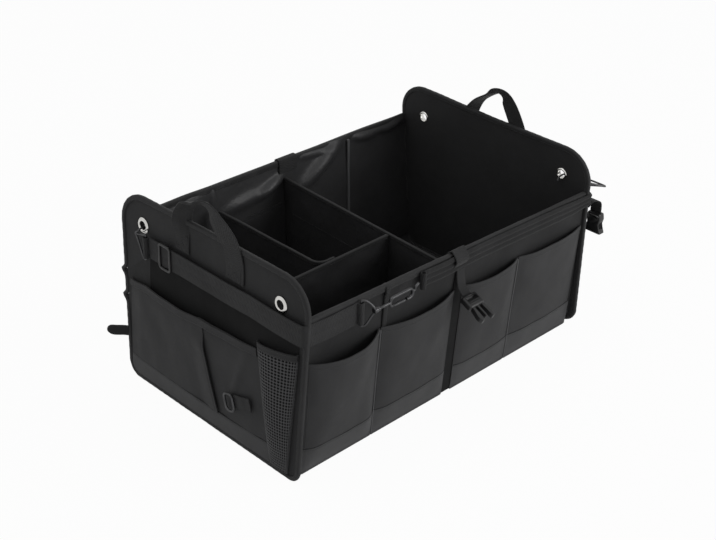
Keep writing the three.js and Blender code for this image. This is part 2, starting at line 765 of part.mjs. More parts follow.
function socket() {
  const w = buckleWidth / 2;
  const half = buckleThickness / 2 + 1;
  const shape = outline([
    [-w + 4, 0], [w - 4, 0], [w - 2, 10], [w - 4, 18], [w + 1, socketLength], [-w - 1, socketLength],
    [-w + 4, 18], [-w + 2, 10],
  ]);
  const slot = box([4.5 - w, 3, -half - 1], [w - 4.5, 7.5, half + 1]);
  const mouth = box([2 - w, 16, 1.6 - half], [w - 2, socketLength + 1, half - 1.6]);
  return without(prism("z", shape, -half, half), slot, mouth);
}

// A frame for one buckle: `across` and `ahead` are its x and y directions.
function buckleFrame(foot, across, ahead) {
  const x = across.clone().normalize();
  const y = ahead.clone().normalize();
  const group = new THREE.Group();
  const basis = new THREE.Matrix4().makeBasis(x, y, new THREE.Vector3().crossVectors(x, y));
  group.quaternion.setFromRotationMatrix(basis);
  group.position.copy(foot);
  organizer.add(group);
  return group;
}

const frontTailZ = rimHeight - 32;
const frontTailY = -halfWidthAt(frontTailZ) - 1.6;
const frontTail = buckleFrame(at(3, frontTailY, frontTailZ), at(-1, 0, 0), at(0, 0, -1));
add(frontTail, "front_tail", "strap", tail([[0, 0], [14, 0], [28, 4], [38, 15]], 12));
const frontPlug = buckleFrame(at(3, frontTailY - 15.5, frontTailZ - 38.7), X, at(0, -0.9, -0.42));
add(frontPlug, "front_buckle", "plastic", plug());

const rightTailX = halfLengthAt(frontStrapLow - 5) + 3;
const rightTailY = rightStrapEnd - 8;
const rightTail = buckleFrame(at(rightTailX, rightTailY, frontStrapLow - 5), at(0, -1, 0), at(0, 0, -1));
add(rightTail, "right_tail", "strap", tail([[2, 0], [-4, 11], [3, 26], [22, 32]], 12));
const rightSocketFoot = at(rightTailX + 32.4, rightTailY, frontStrapLow - 28);
const rightSocket = buckleFrame(rightSocketFoot, at(0, -1, 0), at(0, 0, -1));
add(rightSocket, "right_buckle", "plastic", socket());

const rearTailFoot = at(-halfLengthAt(rearTailZ) - 1.01, halfWidthAt(rearTailZ) + 1.91, rearTailZ);
const rearTail = buckleFrame(rearTailFoot, Z, at(-1, 1, 0));
add(rearTail, "rear_tail", "strap", tail([[0, 0], [9, 0.6], [19, 0.4], [30, 0]], 18, 5));

const ringWall = Math.max(halfLengthAt(sideRingLow) - 2, halfLengthAt(sideRingTop));
const sideFoot = ringWall + leftBow + sideRingOff;
const sideFrame = frame(at(-1, 0, 0), at(-sideFoot, 0, 0));
function sideRing() {
  const ring = rounded(
    [[56, sideRingLow], [78, sideRingLow + 6], [70, sideRingTop], [48, sideRingTop - 6]],
    [9, 9, 9, 9],
  );
  ring.holes.push(rounded(
    [[60, sideRingLow + 5], [73, sideRingLow + 9], [67, sideRingTop - 5], [54, sideRingTop - 9]],
    [5, 5, 5, 5],
    THREE.Path,
  ));
  return prism("z", ring, 0, 4, 4);
}
add(sideFrame, "side_ring", "plastic", sideRing());
add(sideFrame, "side_tail", "strap",
  prism("z", outline([
    [70, sideRingLow + 10], [104, sideRingLow + 20], [104, sideRingTop + 6], [66, sideRingTop - 4],
  ]), -2.4, -0.4));

export default organizer;
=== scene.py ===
"""Open car trunk organizer of sewn polyester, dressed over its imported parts.

Sizes are in millimetres, +Z up, +X along the long side and +Y towards the back, until a mesh is
made, where they become metres.
"""

import logging
import math
from collections.abc import Callable, Sequence
from dataclasses import dataclass, field
from enum import Enum

import bpy
from mathutils import Euler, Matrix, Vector, noise


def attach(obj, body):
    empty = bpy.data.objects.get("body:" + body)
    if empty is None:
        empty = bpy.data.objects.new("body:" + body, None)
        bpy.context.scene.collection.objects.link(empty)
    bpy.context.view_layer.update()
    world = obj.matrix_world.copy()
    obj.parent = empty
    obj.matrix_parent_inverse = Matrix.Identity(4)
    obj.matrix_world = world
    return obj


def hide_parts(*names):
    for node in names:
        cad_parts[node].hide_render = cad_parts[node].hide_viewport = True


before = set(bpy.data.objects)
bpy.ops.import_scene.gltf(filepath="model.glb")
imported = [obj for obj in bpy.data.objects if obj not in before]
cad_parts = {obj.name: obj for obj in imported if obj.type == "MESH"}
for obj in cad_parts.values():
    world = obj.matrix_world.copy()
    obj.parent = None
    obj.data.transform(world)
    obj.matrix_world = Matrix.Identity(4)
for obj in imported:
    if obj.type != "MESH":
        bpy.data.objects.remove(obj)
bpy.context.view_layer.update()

LOG = logging.getLogger("trunk_organizer")
MM = 0.001
TAU = 2 * math.pi
MAIN_BODY = "organizer"

Place = Callable[[float, float], Vector]
Pair = tuple[float, float]
Side = Callable[[float], float]
Point = Callable[[float, float, float], Vector]
Colour = tuple[float, float, float]

X = Vector((1, 0, 0))
Y = Vector((0, 1, 0))
Z = Vector((0, 0, 1))

# Sizes of the sewn body, as in the part's source
BASE_LENGTH, TOP_LENGTH = 620.0, 588.0
BASE_WIDTH, TOP_WIDTH = 362.0, 400.0
END_HEIGHT, RIM_HEIGHT = 310.0, 254.0
WALL = 4.0
GAP = 0.3
END_SLOPE = (BASE_LENGTH - TOP_LENGTH) / 2 / END_HEIGHT
SIDE_SLOPE = (TOP_WIDTH - BASE_WIDTH) / 2 / END_HEIGHT
FOOT_RADIUS, END_TOP_RADIUS = 24.0, 48.0
BINDING_INSIDE = 5.5
FOLD_X = 155.0
EYELET_HEIGHT, EYELET_OFFSET = 262.0, 147.0


def half_length(z: float) -> float:
    """Half the body's length at height z."""
    return BASE_LENGTH / 2 - END_SLOPE * z


def half_width(z: float) -> float:
    """Half the body's width at height z."""
    return BASE_WIDTH / 2 + SIDE_SLOPE * z


def wall_end(z: float) -> float:
    """How far the long walls reach along X at height z."""
    return half_length(z) - BINDING_INSIDE - GAP


def room_half(z: float) -> float:
    """Half the inside width at height z."""
    return half_width(z) - WALL - 2 * GAP


def smooth(low: float, high: float, value: float) -> float:
    """A soft step from 0 at `low` to 1 at `high`."""
    share = min(max((value - low) / (high - low), 0.0), 1.0)
    return share * share * (3 - 2 * share)


def crumple(u: float, v: float, size: float, seed: float) -> float:
    """Slow waves of a slack sheet, from about -1 to 1, on a scale of `size` millimetres."""
    broad = noise.noise(Vector((u / size, v / size, seed)))
    fine = noise.noise(Vector((u / size * 2.3, v / size * 2.3, seed + 9)))
    return 1.3 * broad + 0.5 * fine


@dataclass(frozen=True)
class Fold:
    """A soft fold along a line on a sheet."""

    start: Pair
    end: Pair
    height: float
    width: float

    def lift(self, u: float, v: float) -> float:
        """How far the fold lifts the sheet.

        Args:
            u: place along the wall.
            v: place up the wall.

        Returns:
            The lift in millimetres, faded towards both ends of the fold.
        """
        (ax, ay), (bx, by) = self.start, self.end
        run = (bx - ax) ** 2 + (by - ay) ** 2
        share = min(max(((u - ax) * (bx - ax) + (v - ay) * (by - ay)) / run, 0.0), 1.0)
        away = math.hypot(u - ax - share * (bx - ax), v - ay - share * (by - ay))
        fade = math.sin(math.pi * (0.1 + 0.8 * share))
        return self.height * fade * math.exp(-((away / self.width) ** 2))


@dataclass(frozen=True)
class WallFrame:
    """A wall's own axes: u along it, v up it and w out of it."""

    out: Vector
    foot: Vector
    lean: float = 0.0

    @property
    def along(self) -> Vector:
        """The direction of u."""
        return Z.cross(self.out)

    @property
    def up(self) -> Vector:
        """The direction of v."""
        return Z * math.cos(self.lean) + self.out * math.sin(self.lean)

    @property
    def normal(self) -> Vector:
        """The direction of w."""
        return self.along.cross(self.up)

    def at(self, u: float, v: float, w: float = 0.0) -> Vector:
        """The point at (u, v, w)."""
        return self.foot + self.along * u + self.up * v + self.normal * w


FRONT = WallFrame(-Y, -Y * BASE_WIDTH / 2, math.atan(SIDE_SLOPE))
BACK = WallFrame(Y, Y * BASE_WIDTH / 2, math.atan(SIDE_SLOPE))
LEFT = WallFrame(-X, -X * BASE_LENGTH / 2, -math.atan(END_SLOPE))
RIGHT = WallFrame(X, X * BASE_LENGTH / 2, -math.atan(END_SLOPE))


# Modelling


def clear_selection() -> None:
    """Deselects everything, so that an operator acts only on the new piece."""
    bpy.ops.object.select_all(action="DESELECT")


def take_up(piece: bpy.types.Object) -> None:
    """Makes one piece the only selected and active one."""
    clear_selection()
    piece.select_set(True)
    bpy.context.view_layer.objects.active = piece


def finish_with(piece: bpy.types.Object, kind: str, **settings: object) -> None:
    """Adds a modifier with these settings and applies it.

    Args:
        piece: the piece that it shapes.
        kind: Blender's name of the modifier.
        settings: the modifier's own settings.
    """
    take_up(piece)
    modifier = piece.modifiers.new(kind.lower(), kind)
    for name, value in settings.items():
        setattr(modifier, name, value)
    bpy.ops.object.modifier_apply(modifier=modifier.name)


def smooth_faces(piece: bpy.types.Object, angle: float = 0.9) -> None:
    """Smooths the faces that meet at less than `angle` radians."""
    take_up(piece)
    bpy.ops.object.shade_smooth_by_angle(angle=angle)


def cloth_grid(name: str, columns: int, rows: int, place: Place, size: Pair) -> bpy.types.Object:
    """Lays a grid of faces on a surface.

    Args:
        name: the piece's name.
        columns: faces along the first direction.
        rows: faces along the second direction.
        place: the point in millimetres for two shares from 0 to 1.
        size: the surface's width and height in millimetres, for its UV map.

    Returns:
        The new piece, one sheet without thickness.
    """
    clear_selection()
    bpy.ops.mesh.primitive_grid_add(
        x_subdivisions=columns, y_subdivisions=rows, size=1.0, calc_uvs=True
    )
    piece = bpy.context.object
    piece.name = piece.data.name = name
    for vertex in piece.data.vertices:
        vertex.co = place(vertex.co.x + 0.5, vertex.co.y + 0.5) * MM
    for corner in piece.data.uv_layers[0].data:
        corner.uv = (corner.uv.x * size[0] * MM, corner.uv.y * size[1] * MM)
    return piece


def thick_sheet(
    name: str, columns: int, rows: int, place: Place, size: Pair, thickness: float, offset: float = -1.0
) -> bpy.types.Object:
    """A grid on a surface with its thickness and rounded rims.

    Args:
        name: the piece's name.
        columns: faces along the first direction.
        rows: faces along the second direction.
        place: the point in millimetres for two shares from 0 to 1.
        size: the surface's width and height in millimetres.
        thickness: the cloth's thickness in millimetres.
        offset: -1 puts the thickness behind the surface, 1 in front of it.

    Returns:
        The new closed piece.
    """
    piece = cloth_grid(name, columns, rows, place, size)
    finish_with(
        piece, "SOLIDIFY", thickness=thickness * MM, offset=offset, use_even_offset=False, use_rim=True
    )
    smooth_faces(piece)
    return piece


@dataclass(frozen=True)
class Station:
    """One place along a swept piece: its centre and the two axes of the section there."""

    centre: Vector
    side: Vector
    up: Vector
    scale: Pair = (1.0, 1.0)


def swept(
    name: str, stations: Sequence[Station], section: Sequence[Pair], closed: bool = False
) -> bpy.types.Object:
    """Sweeps a closed section along stations.

    Args:
        name: the piece's name.
        stations: the places along the piece.
        section: the section's points, going once round.
        closed: whether the piece joins up with its own start.

    Returns:
        The new closed piece.
    """
    around = len(section)
    rows = len(stations) - (0 if closed else 1)
    length = sum((b.centre - a.centre).length for a, b in zip(stations, stations[1:]))
    round_trip = sum(math.dist(section[i - 1], section[i]) for i in range(around))

    def place(s: float, t: float) -> Vector:
        station = stations[round(t * rows) % len(stations)]
        a, b = section[round(s * around) % around]
        return station.centre + station.side * (a * station.scale[0]) + station.up * (b * station.scale[1])

    piece = cloth_grid(name, around, rows, place, (round_trip, length))
    bpy.ops.object.mode_set(mode="EDIT")
    bpy.ops.mesh.select_all(action="SELECT")
    bpy.ops.mesh.remove_doubles(threshold=1e-6)
    bpy.ops.mesh.select_all(action="SELECT")
    if not closed:
        bpy.ops.mesh.fill_holes(sides=0)
        bpy.ops.mesh.select_all(action="SELECT")
    bpy.ops.mesh.normals_make_consistent(inside=False)
    bpy.ops.object.mode_set(mode="OBJECT")
    smooth_faces(piece)
    return piece


def oval(a: float, b: float, points: int = 16, power: float = 2.0) -> list[Pair]:
    """The points of a rounded section, from a plain oval at power 2 to nearly a box at 6."""
    def pull(value: float) -> float:
        return math.copysign(abs(value) ** (2 / power), value)

    angles = [TAU * i / points for i in range(points)]
    return [(a * pull(math.cos(angle)), b * pull(math.sin(angle))) for angle in angles]


def half_round(middle: float, half: float, base: float, crown: float) -> list[Pair]:
    """The points of a tape's rounded top, from its front side to its back side."""
    angles = [math.pi * i / 8 for i in range(9)]
    return [(middle + half * math.cos(a), base + crown * math.sin(a)) for a in angles]


def flat_section(
    width: float, thickness: float, across: int = 8, ridge: float = 0.0, pleats: int = 0
) -> list[Pair]:
    """The section of a flat webbing, with soft selvedges and an optional row of pleats.

    Args:
        width: the webbing's width.
        thickness: its thickness.
        across: how many faces cross it.
        ridge: how high the pleats stand.
        pleats: how many pleats run along it.

    Returns:
        The section's points, (across, through).
    """
    half, lip = width / 2, thickness * 0.35
    steps = [-half + lip + (width - 2 * lip) * i / across for i in range(across + 1)]
    lift = [ridge * math.sin(math.pi * pleats * i / across) ** 2 for i in range(across + 1)]
    front = [(x, thickness / 2 + rise) for x, rise in zip(steps, lift)]
    back = [(x, -thickness / 2 + rise) for x, rise in zip(steps, lift)]
    return [*reversed(front), (-half, 0.0), *back, (half, 0.0)]


def curve_through(points: Sequence[Vector], steps: int = 8) -> list[Vector]:
    """A smooth line through the points, with `steps` parts from one to the next."""
    line = []
    for i in range(len(points) - 1):
        before, start = points[max(i - 1, 0)], points[i]
        end, after = points[i + 1], points[min(i + 2, len(points) - 1)]
        for k in range(steps):
            t = k / steps
            square = (2 * before - 5 * start + 4 * end - after) * t * t
            cube = (3 * start - before - 3 * end + after) * t ** 3
            line.append(0.5 * (2 * start + (end - before) * t + square + cube))
    return [*line, points[-1].copy()]


def headings(line: Sequence[Vector], closed: bool = False) -> list[Vector]:
    """The direction of a line at each of its points."""
    last = len(line) - 1
    found = []
    for i in range(len(line)):
        if closed:
            ahead = line[(i + 1) % len(line)] - line[i - 1]
        else:
            ahead = line[min(i + 1, last)] - line[max(i - 1, 0)]
        found.append(ahead.normalized())
    return found


def block(low: Pair, high: Pair) -> list[Pair]:
    """The corners of an upright rectangle, going anticlockwise."""
    return [low, (high[0], low[1]), high, (low[0], high[1])]


def ring_round(line: Sequence[Vector], axis: Vector) -> list[Station]:
    """Stations round a closed line, the section's second axis along `axis`."""
    return [Station(p, a.cross(axis).normalized(), axis) for p, a in zip(line, headings(line, True))]


def along_line(line: Sequence[Vector], side: Vector) -> list[Station]:
    """Stations along a line whose section's first axis stays near `side`."""
    stations = []
    for point, ahead in zip(line, headings(line)):
        flat = (side - ahead * side.dot(ahead)).normalized()
        stations.append(Station(point, flat, flat.cross(ahead)))
    return stations


def bent_wire(
    name: str, points: Sequence[Vector], radius: float, steps: int = 6, sides: int = 12
) -> bpy.types.Object:
    """A round wire through the points, its ends rounded off."""
    line = curve_through(points, steps)
    ways = headings(line)
    stations = []
    turn = Vector((0.31, 0.87, 0.38))
    for point, ahead in zip(line, ways):
        turn = (turn - ahead * turn.dot(ahead)).normalized()
        stations.append(Station(point, turn, turn.cross(ahead)))
    first, last = stations[0], stations[-1]
    drawn_in = (0.55, 0.55)
    start = Station(first.centre - ways[0] * radius * 0.5, first.side, first.up, drawn_in)
    end = Station(last.centre + ways[-1] * radius * 0.5, last.side, last.up, drawn_in)
    return swept(name, [start, *stations, end], oval(radius, radius, sides))


def rounded_path(
    corners: Sequence[Pair], radii: Sequence[float], steps: int = 10, spacing: float = 6.0
) -> list[Pair]:
    """A closed outline through corners, each rounded by an arc of its own radius.

    Args:
        corners: the corners in turn.
        radii: the radius at each of them.
        steps: how many parts an arc has.
        spacing: the longest distance between points on a straight side.

    Returns:
        The outline's points, going once round.
    """
    points: list[Pair] = []
    for i, (x, y) in enumerate(corners):
        corner = Vector((x, y))
        before = (Vector(corners[i - 1]) - corner).normalized()
        after = (Vector(corners[(i + 1) % len(corners)]) - corner).normalized()
        half = math.acos(before.dot(after)) / 2
        middle = corner + (before + after).normalized() * (radii[i] / math.sin(half))
        start = corner + before * (radii[i] / math.tan(half)) - middle
        end = corner + after * (radii[i] / math.tan(half)) - middle
        turn = math.atan2(start.x * end.y - start.y * end.x, start.dot(end))
        angle = math.atan2(start.y, start.x)
        if points:
            points.extend(straight(points[-1], tuple(middle + start), spacing))
        for k in range(steps + 1):
            at = angle + turn * k / steps
            points.append((middle.x + radii[i] * math.cos(at), middle.y + radii[i] * math.sin(at)))
    points.extend(straight(points[-1], points[0], spacing))
    return points


def straight(start: Pair, end: Pair, spacing: float) -> list[Pair]:
    """Points between two others, without them, at most `spacing` apart."""
    parts = max(1, math.ceil(math.dist(start, end) / spacing))
    return [
        (start[0] + (end[0] - start[0]) * i / parts, start[1] + (end[1] - start[1]) * i / parts)
        for i in range(1, parts)
    ]


def plate(
    name: str, outline: Sequence[Pair], at: Point, low: float, high: float, bevel: float
) -> bpy.types.Object:
    """A flat plate of this outline with rounded edges.

    Args:
        name: the piece's name.
        outline: its corners, going anticlockwise.
        at: the point for (x, y, height).
        low: the height of its back.
        high: the height of its face.
        bevel: the radius of its edges.

    Returns:
        The new closed piece.
    """
    clear_selection()
    bpy.ops.mesh.primitive_circle_add(vertices=len(outline), radius=1.0, fill_type="NGON")
    piece = bpy.context.object
    piece.name = piece.data.name = name
    for vertex, (x, y) in zip(piece.data.vertices, outline):
        vertex.co = (x, y, low)
    bpy.ops.object.mode_set(mode="EDIT")
    bpy.ops.mesh.select_all(action="SELECT")
    bpy.ops.mesh.extrude_region_move(TRANSFORM_OT_translate={"value": (0, 0, high - low)})
    bpy.ops.mesh.select_all(action="SELECT")
    bpy.ops.mesh.normals_make_consistent(inside=False)
    bpy.ops.object.mode_set(mode="OBJECT")
    for vertex in piece.data.vertices:
        vertex.co = at(*vertex.co) * MM
    if bevel:
        finish_with(
            piece, "BEVEL", width=bevel * MM, segments=3, limit_method="ANGLE", angle_limit=0.7
        )
    smooth_faces(piece, 0.7)
    return piece


def cut(piece: bpy.types.Object, tool: bpy.types.Object) -> None:
    """Cuts a tool out of a piece and deletes the tool."""
    finish_with(piece, "BOOLEAN", object=tool, operation="DIFFERENCE", solver="EXACT")
    bpy.data.objects.remove(tool)


def gather(name: str, parts: Sequence[bpy.types.Object]) -> bpy.types.Object:
    """Makes several parts of one finish into one piece."""
    take_up(parts[0])
    for part in parts:
        part.select_set(True)
    bpy.ops.object.join()
    piece = bpy.context.object
    piece.name = piece.data.name = name
    return piece


Run = list[tuple[Vector, Vector]]


def run_on(place: Place, path: Sequence[Pair]) -> Run:
    """Points and normals on a surface along a path given in its two shares."""
    step = 0.004
    found = []
    for s, t in path:
        a = place(min(s + step, 1), t) - place(max(s - step, 0), t)
        b = place(s, min(t + step, 1)) - place(s, max(t - step, 0))
        found.append((place(s, t), a.cross(b).normalized()))
    return found


def level_run(place: Place, t: float, start: float = 0.01, end: float = 0.99, parts: int = 60) -> Run:
    """A run across a surface at one height."""
    return run_on(place, [(start + (end - start) * i / parts, t) for i in range(parts + 1)])


def upright_run(place: Place, s: float, start: float = 0.02, end: float = 0.98, parts: int = 40) -> Run:
    """A run up a surface at one place along it."""
    return run_on(place, [(s, start + (end - start) * i / parts) for i in range(parts + 1)])


STITCH_PITCH, STITCH_LENGTH, THREAD_RADIUS, THREAD_PROUD = 3.6, 2.5, 0.42, 0.1


def sewn(name: str, runs: Sequence[Run]) -> bpy.types.Object:
    """Rows of stitches, each a short grain of thread half sunk in the cloth.

    Args:
        name: the piece's name.
        runs: the rows, each a list of points and surface normals.

    Returns:
        The new piece.
    """
    clear_selection()
    bpy.ops.mesh.primitive_uv_sphere_add(segments=6, ring_count=4, radius=1.0)
    grain = bpy.context.object
    shape = [vertex.co.copy() for vertex in grain.data.vertices]
    faces = [tuple(face.vertices) for face in grain.data.polygons]
    points: list[Vector] = []
    polygons: list[tuple[int, ...]] = []
    for run in runs:
        travelled, due = 0.0, STITCH_PITCH / 2
        for (a, normal), (b, _) in zip(run, run[1:]):
            span = (b - a).length
            while span > 0 and due <= travelled + span:
                centre = a.lerp(b, (due - travelled) / span)
                ahead = (b - a).normalized()
                side = normal.cross(ahead)
                base = len(points)
                for dot in shape:
                    on_cloth = ahead * dot.z * STITCH_LENGTH / 2 + side * dot.x * THREAD_RADIUS
                    height = normal * (dot.y * THREAD_RADIUS + THREAD_PROUD)
                    points.append((centre + on_cloth + height) * MM)
                polygons.extend(tuple(base + i for i in face) for face in faces)
                due += STITCH_PITCH
            travelled += span
    mesh = bpy.data.meshes.new(name)
    mesh.from_pydata([tuple(point) for point in points], [], polygons)
    mesh.validate()
    old = grain.data
    grain.data = mesh
    bpy.data.meshes.remove(old)
    grain.name = name
    smooth_faces(grain, 1.5)
    take_up(grain)
    bpy.ops.object.mode_set(mode="EDIT")
    bpy.ops.mesh.select_all(action="SELECT")
    bpy.ops.mesh.normals_make_consistent(inside=False)
    bpy.ops.object.mode_set(mode="OBJECT")
    return grain


# Finishes


class Pattern(Enum):
    """What the threads of a cloth make."""

    PLAIN = "plain weave"
    RIBBED = "cross ribs"
    CHEVRON = "slanted ribs on each side of a middle line"


class Nodes:
    """A small hand for placing and wiring nodes in one tree."""

    def __init__(self, tree: bpy.types.NodeTree) -> None:
        """Starts in an emptied tree."""
        self.tree = tree
        tree.nodes.clear()

    def add(self, kind: str, **settings: object) -> bpy.types.Node:
        """Adds a node and sets its own properties."""
        node = self.tree.nodes.new(kind)
        for name, value in settings.items():
            setattr(node, name, value)
        return node

    def wire(self, source: bpy.types.NodeSocket, target: bpy.types.NodeSocket) -> None:
        """Joins two sockets."""
        self.tree.links.new(source, target)

    def math(self, operation: str, *values: object) -> bpy.types.NodeSocket:
        """A maths node on sockets or plain numbers.

        Args:
            operation: what it does.
            values: its inputs in turn.

        Returns:
            Its output socket.
        """
        node = self.add("ShaderNodeMath", operation=operation)
        for socket, value in zip(node.inputs, values):
            if isinstance(value, bpy.types.NodeSocket):
                self.wire(value, socket)
            else:
                socket.default_value = value
        return node.outputs[0]


GroupParts = tuple[bpy.types.NodeTree, Nodes, bpy.types.Node, bpy.types.Node]


def new_group(name: str, inputs: dict[str, object], outputs: Sequence[str]) -> GroupParts:
    """Starts a shader node group.

    Args:
        name: the group's name.
        inputs: each input's name and default, a vector where it is None.
        outputs: the names of its outputs, all plain values.

    Returns:
        The group, the hand that wires it, and its input and output nodes.
    """
    group = bpy.data.node_groups.new(name, "ShaderNodeTree")
    for label, value in inputs.items():
        kind = "NodeSocketVector" if value is None else "NodeSocketFloat"
        socket = group.interface.new_socket(label, in_out="INPUT", socket_type=kind)
        if value is not None:
            socket.default_value = value
    for label in outputs:
        group.interface.new_socket(label, in_out="OUTPUT", socket_type="NodeSocketFloat")
    hand = Nodes(group)
    return group, hand, hand.add("NodeGroupInput"), hand.add("NodeGroupOutput")


CHEVRON_RATE, CHEVRON_LEAN, CROSS_RATE = 260.0, 0.0022, 1.7


def weave_group(pattern: Pattern) -> bpy.types.NodeTree:
    """The relief of threads, read from a map in metres.

    Args:
        pattern: what the threads make.

    Returns:
        A group with Vector and Pitch inputs, and a Height output from 0 to 1.
    """
    group, hand, given, result = new_group(
        f"threads, {pattern.value}", {"Vector": None, "Pitch": 0.001}, ["Height"]
    )
    split = hand.add("ShaderNodeSeparateXYZ")
    hand.wire(given.outputs["Vector"], split.inputs[0])
    turns = hand.math("DIVIDE", TAU, given.outputs["Pitch"])
    across, along = split.outputs[0], split.outputs[1]
    if pattern is Pattern.CHEVRON:
        swing = hand.math("ABSOLUTE", hand.math("SINE", hand.math("MULTIPLY", across, CHEVRON_RATE)))
        along = hand.math("ADD", along, hand.math("MULTIPLY", swing, CHEVRON_LEAN))
    first = hand.math("SINE", hand.math("MULTIPLY", along, turns))
    if pattern is Pattern.PLAIN:
        second = hand.math("SINE", hand.math("MULTIPLY", across, turns))
        waves = hand.math("MULTIPLY", first, second)
    else:
        crossing = hand.math("MULTIPLY", across, hand.math("MULTIPLY", turns, CROSS_RATE))
        fine = hand.math("SINE", crossing)
        waves = hand.math("ADD", hand.math("MULTIPLY", first, 0.8), hand.math("MULTIPLY", fine, 0.2))
    height = hand.math("MULTIPLY_ADD", waves, 0.5, 0.5)
    hand.wire(height, result.inputs["Height"])
    return group


def handling_group() -> bpy.types.NodeTree:
    """Slow changes of tone, fine creases and dust, as handled cloth and plastic have.

    Returns:
        A group with Vector and Size inputs, and Tone, Crease and Dust outputs from 0 to 1.
    """
    group, hand, given, result = new_group(
        "handling", {"Vector": None, "Size": 0.05}, ["Tone", "Crease", "Dust"]
    )
    rate = hand.math("DIVIDE", 1.0, given.outputs["Size"])
    for label, times, detail, rough in (
        ("Tone", 1.0, 3.0, 0.55), ("Crease", 3.1, 4.0, 0.6), ("Dust", 60.0, 2.0, 0.5),
    ):
        cloud = hand.add("ShaderNodeTexNoise")
        hand.wire(given.outputs["Vector"], cloud.inputs["Vector"])
        hand.wire(hand.math("MULTIPLY", rate, times), cloud.inputs["Scale"])
        cloud.inputs["Detail"].default_value = detail
        cloud.inputs["Roughness"].default_value = rough
        hand.wire(cloud.outputs[0], result.inputs[label])
    return group


class Groups:
    """The shared node groups, each made once."""

    made: dict[str, bpy.types.NodeTree] = {}

    @classmethod
    def weave(cls, pattern: Pattern) -> bpy.types.NodeTree:
        """The thread relief of one pattern."""
        if pattern.value not in cls.made:
            cls.made[pattern.value] = weave_group(pattern)
        return cls.made[pattern.value]

    @classmethod
    def handling(cls) -> bpy.types.NodeTree:
        """The marks of handling."""
        if "handling" not in cls.made:
            cls.made["handling"] = handling_group()
        return cls.made["handling"]


def toned(
    hand: Nodes, share: bpy.types.NodeSocket, dark: Colour, light: Colour, low: float, high: float
) -> bpy.types.NodeSocket:
    """A colour between two, by a share that runs from `low` to `high`."""
    ramp = hand.add("ShaderNodeValToRGB")
    for stop, position, colour in zip(ramp.color_ramp.elements, (low, high), (dark, light)):
        stop.position = position
        stop.color = (*colour, 1.0)
    hand.wire(share, ramp.inputs[0])
    return ramp.outputs[0]


def relief(
    hand: Nodes, height: bpy.types.NodeSocket, strength: float, depth: float
) -> bpy.types.Node:
    """A bump node that reads a height of `depth` millimetres."""
    bump = hand.add("ShaderNodeBump")
    bump.inputs["Strength"].default_value = strength
    bump.inputs["Distance"].default_value = depth * MM
    hand.wire(height, bump.inputs["Height"])
    return bump


@dataclass(frozen=True)
class Finish:
    """What every finish has: a name, a material slot, two tones and a roughness."""

    name: str
    slot: str
    dark: Colour
    light: Colour
    roughness: float

    def material(self) -> bpy.types.Material:
        """The finish as a material, made at its first use."""
        found = bpy.data.materials.get(self.name)
        if found:
            return found
        made = bpy.data.materials.new(self.name)
        made.use_nodes = True
        hand = Nodes(made.node_tree)
        place = hand.add("ShaderNodeTexCoord")
        shader = hand.add("ShaderNodeBsdfPrincipled")
        out = hand.add("ShaderNodeOutputMaterial")
        hand.wire(shader.outputs[0], out.inputs["Surface"])
        handling = hand.add("ShaderNodeGroup", node_tree=Groups.handling())
        hand.wire(place.outputs["Object"], handling.inputs["Vector"])
        self.surface(hand, place, handling, shader)
        return made

    def surface(
        self, hand: Nodes, place: bpy.types.Node, handling: bpy.types.Node, shader: bpy.types.Node
    ) -> None:
        """Wires what is this kind of finish's own."""
        raise NotImplementedError


@dataclass(frozen=True)
class ClothFinish(Finish):
    """A woven finish, its threads following the piece's own map."""

    pitch: float
    thread_relief: float
    creases: float
    sheen: float
    pattern: Pattern = Pattern.PLAIN

    def surface(
        self, hand: Nodes, place: bpy.types.Node, handling: bpy.types.Node, shader: bpy.types.Node
    ) -> None:
        """Wires threads, slow changes of tone and fine creases.

        Args:
            hand: the hand that wires the material.
            place: the node of the piece's coordinates.
            handling: the marks of handling.
            shader: the material's shader.
        """
        shader.inputs["Sheen Weight"].default_value = self.sheen
        shader.inputs["Sheen Roughness"].default_value = 0.45
        shader.inputs["Specular IOR Level"].default_value = 0.3
        handling.inputs["Size"].default_value = 0.07
        threads = hand.add("ShaderNodeGroup", node_tree=Groups.weave(self.pattern))
        hand.wire(place.outputs["UV"], threads.inputs["Vector"])
        threads.inputs["Pitch"].default_value = self.pitch * MM
        tone = hand.math("MULTIPLY_ADD", threads.outputs["Height"], 0.3, handling.outputs["Tone"])
        flecked = hand.math("MULTIPLY_ADD", handling.outputs["Dust"], 0.18, tone)
        hand.wire(toned(hand, flecked, self.dark, self.light, 0.42, 1.02), shader.inputs["Base Color"])
        rough = hand.math("MULTIPLY_ADD", handling.outputs["Crease"], 0.16, self.roughness - 0.08)
        hand.wire(rough, shader.inputs["Roughness"])
        broad = relief(hand, handling.outputs["Crease"], 0.6, self.creases)
        fine = relief(hand, threads.outputs["Height"], 0.7, self.thread_relief)
        hand.wire(broad.outputs[0], fine.inputs["Normal"])
        hand.wire(fine.outputs[0], shader.inputs["Normal"])


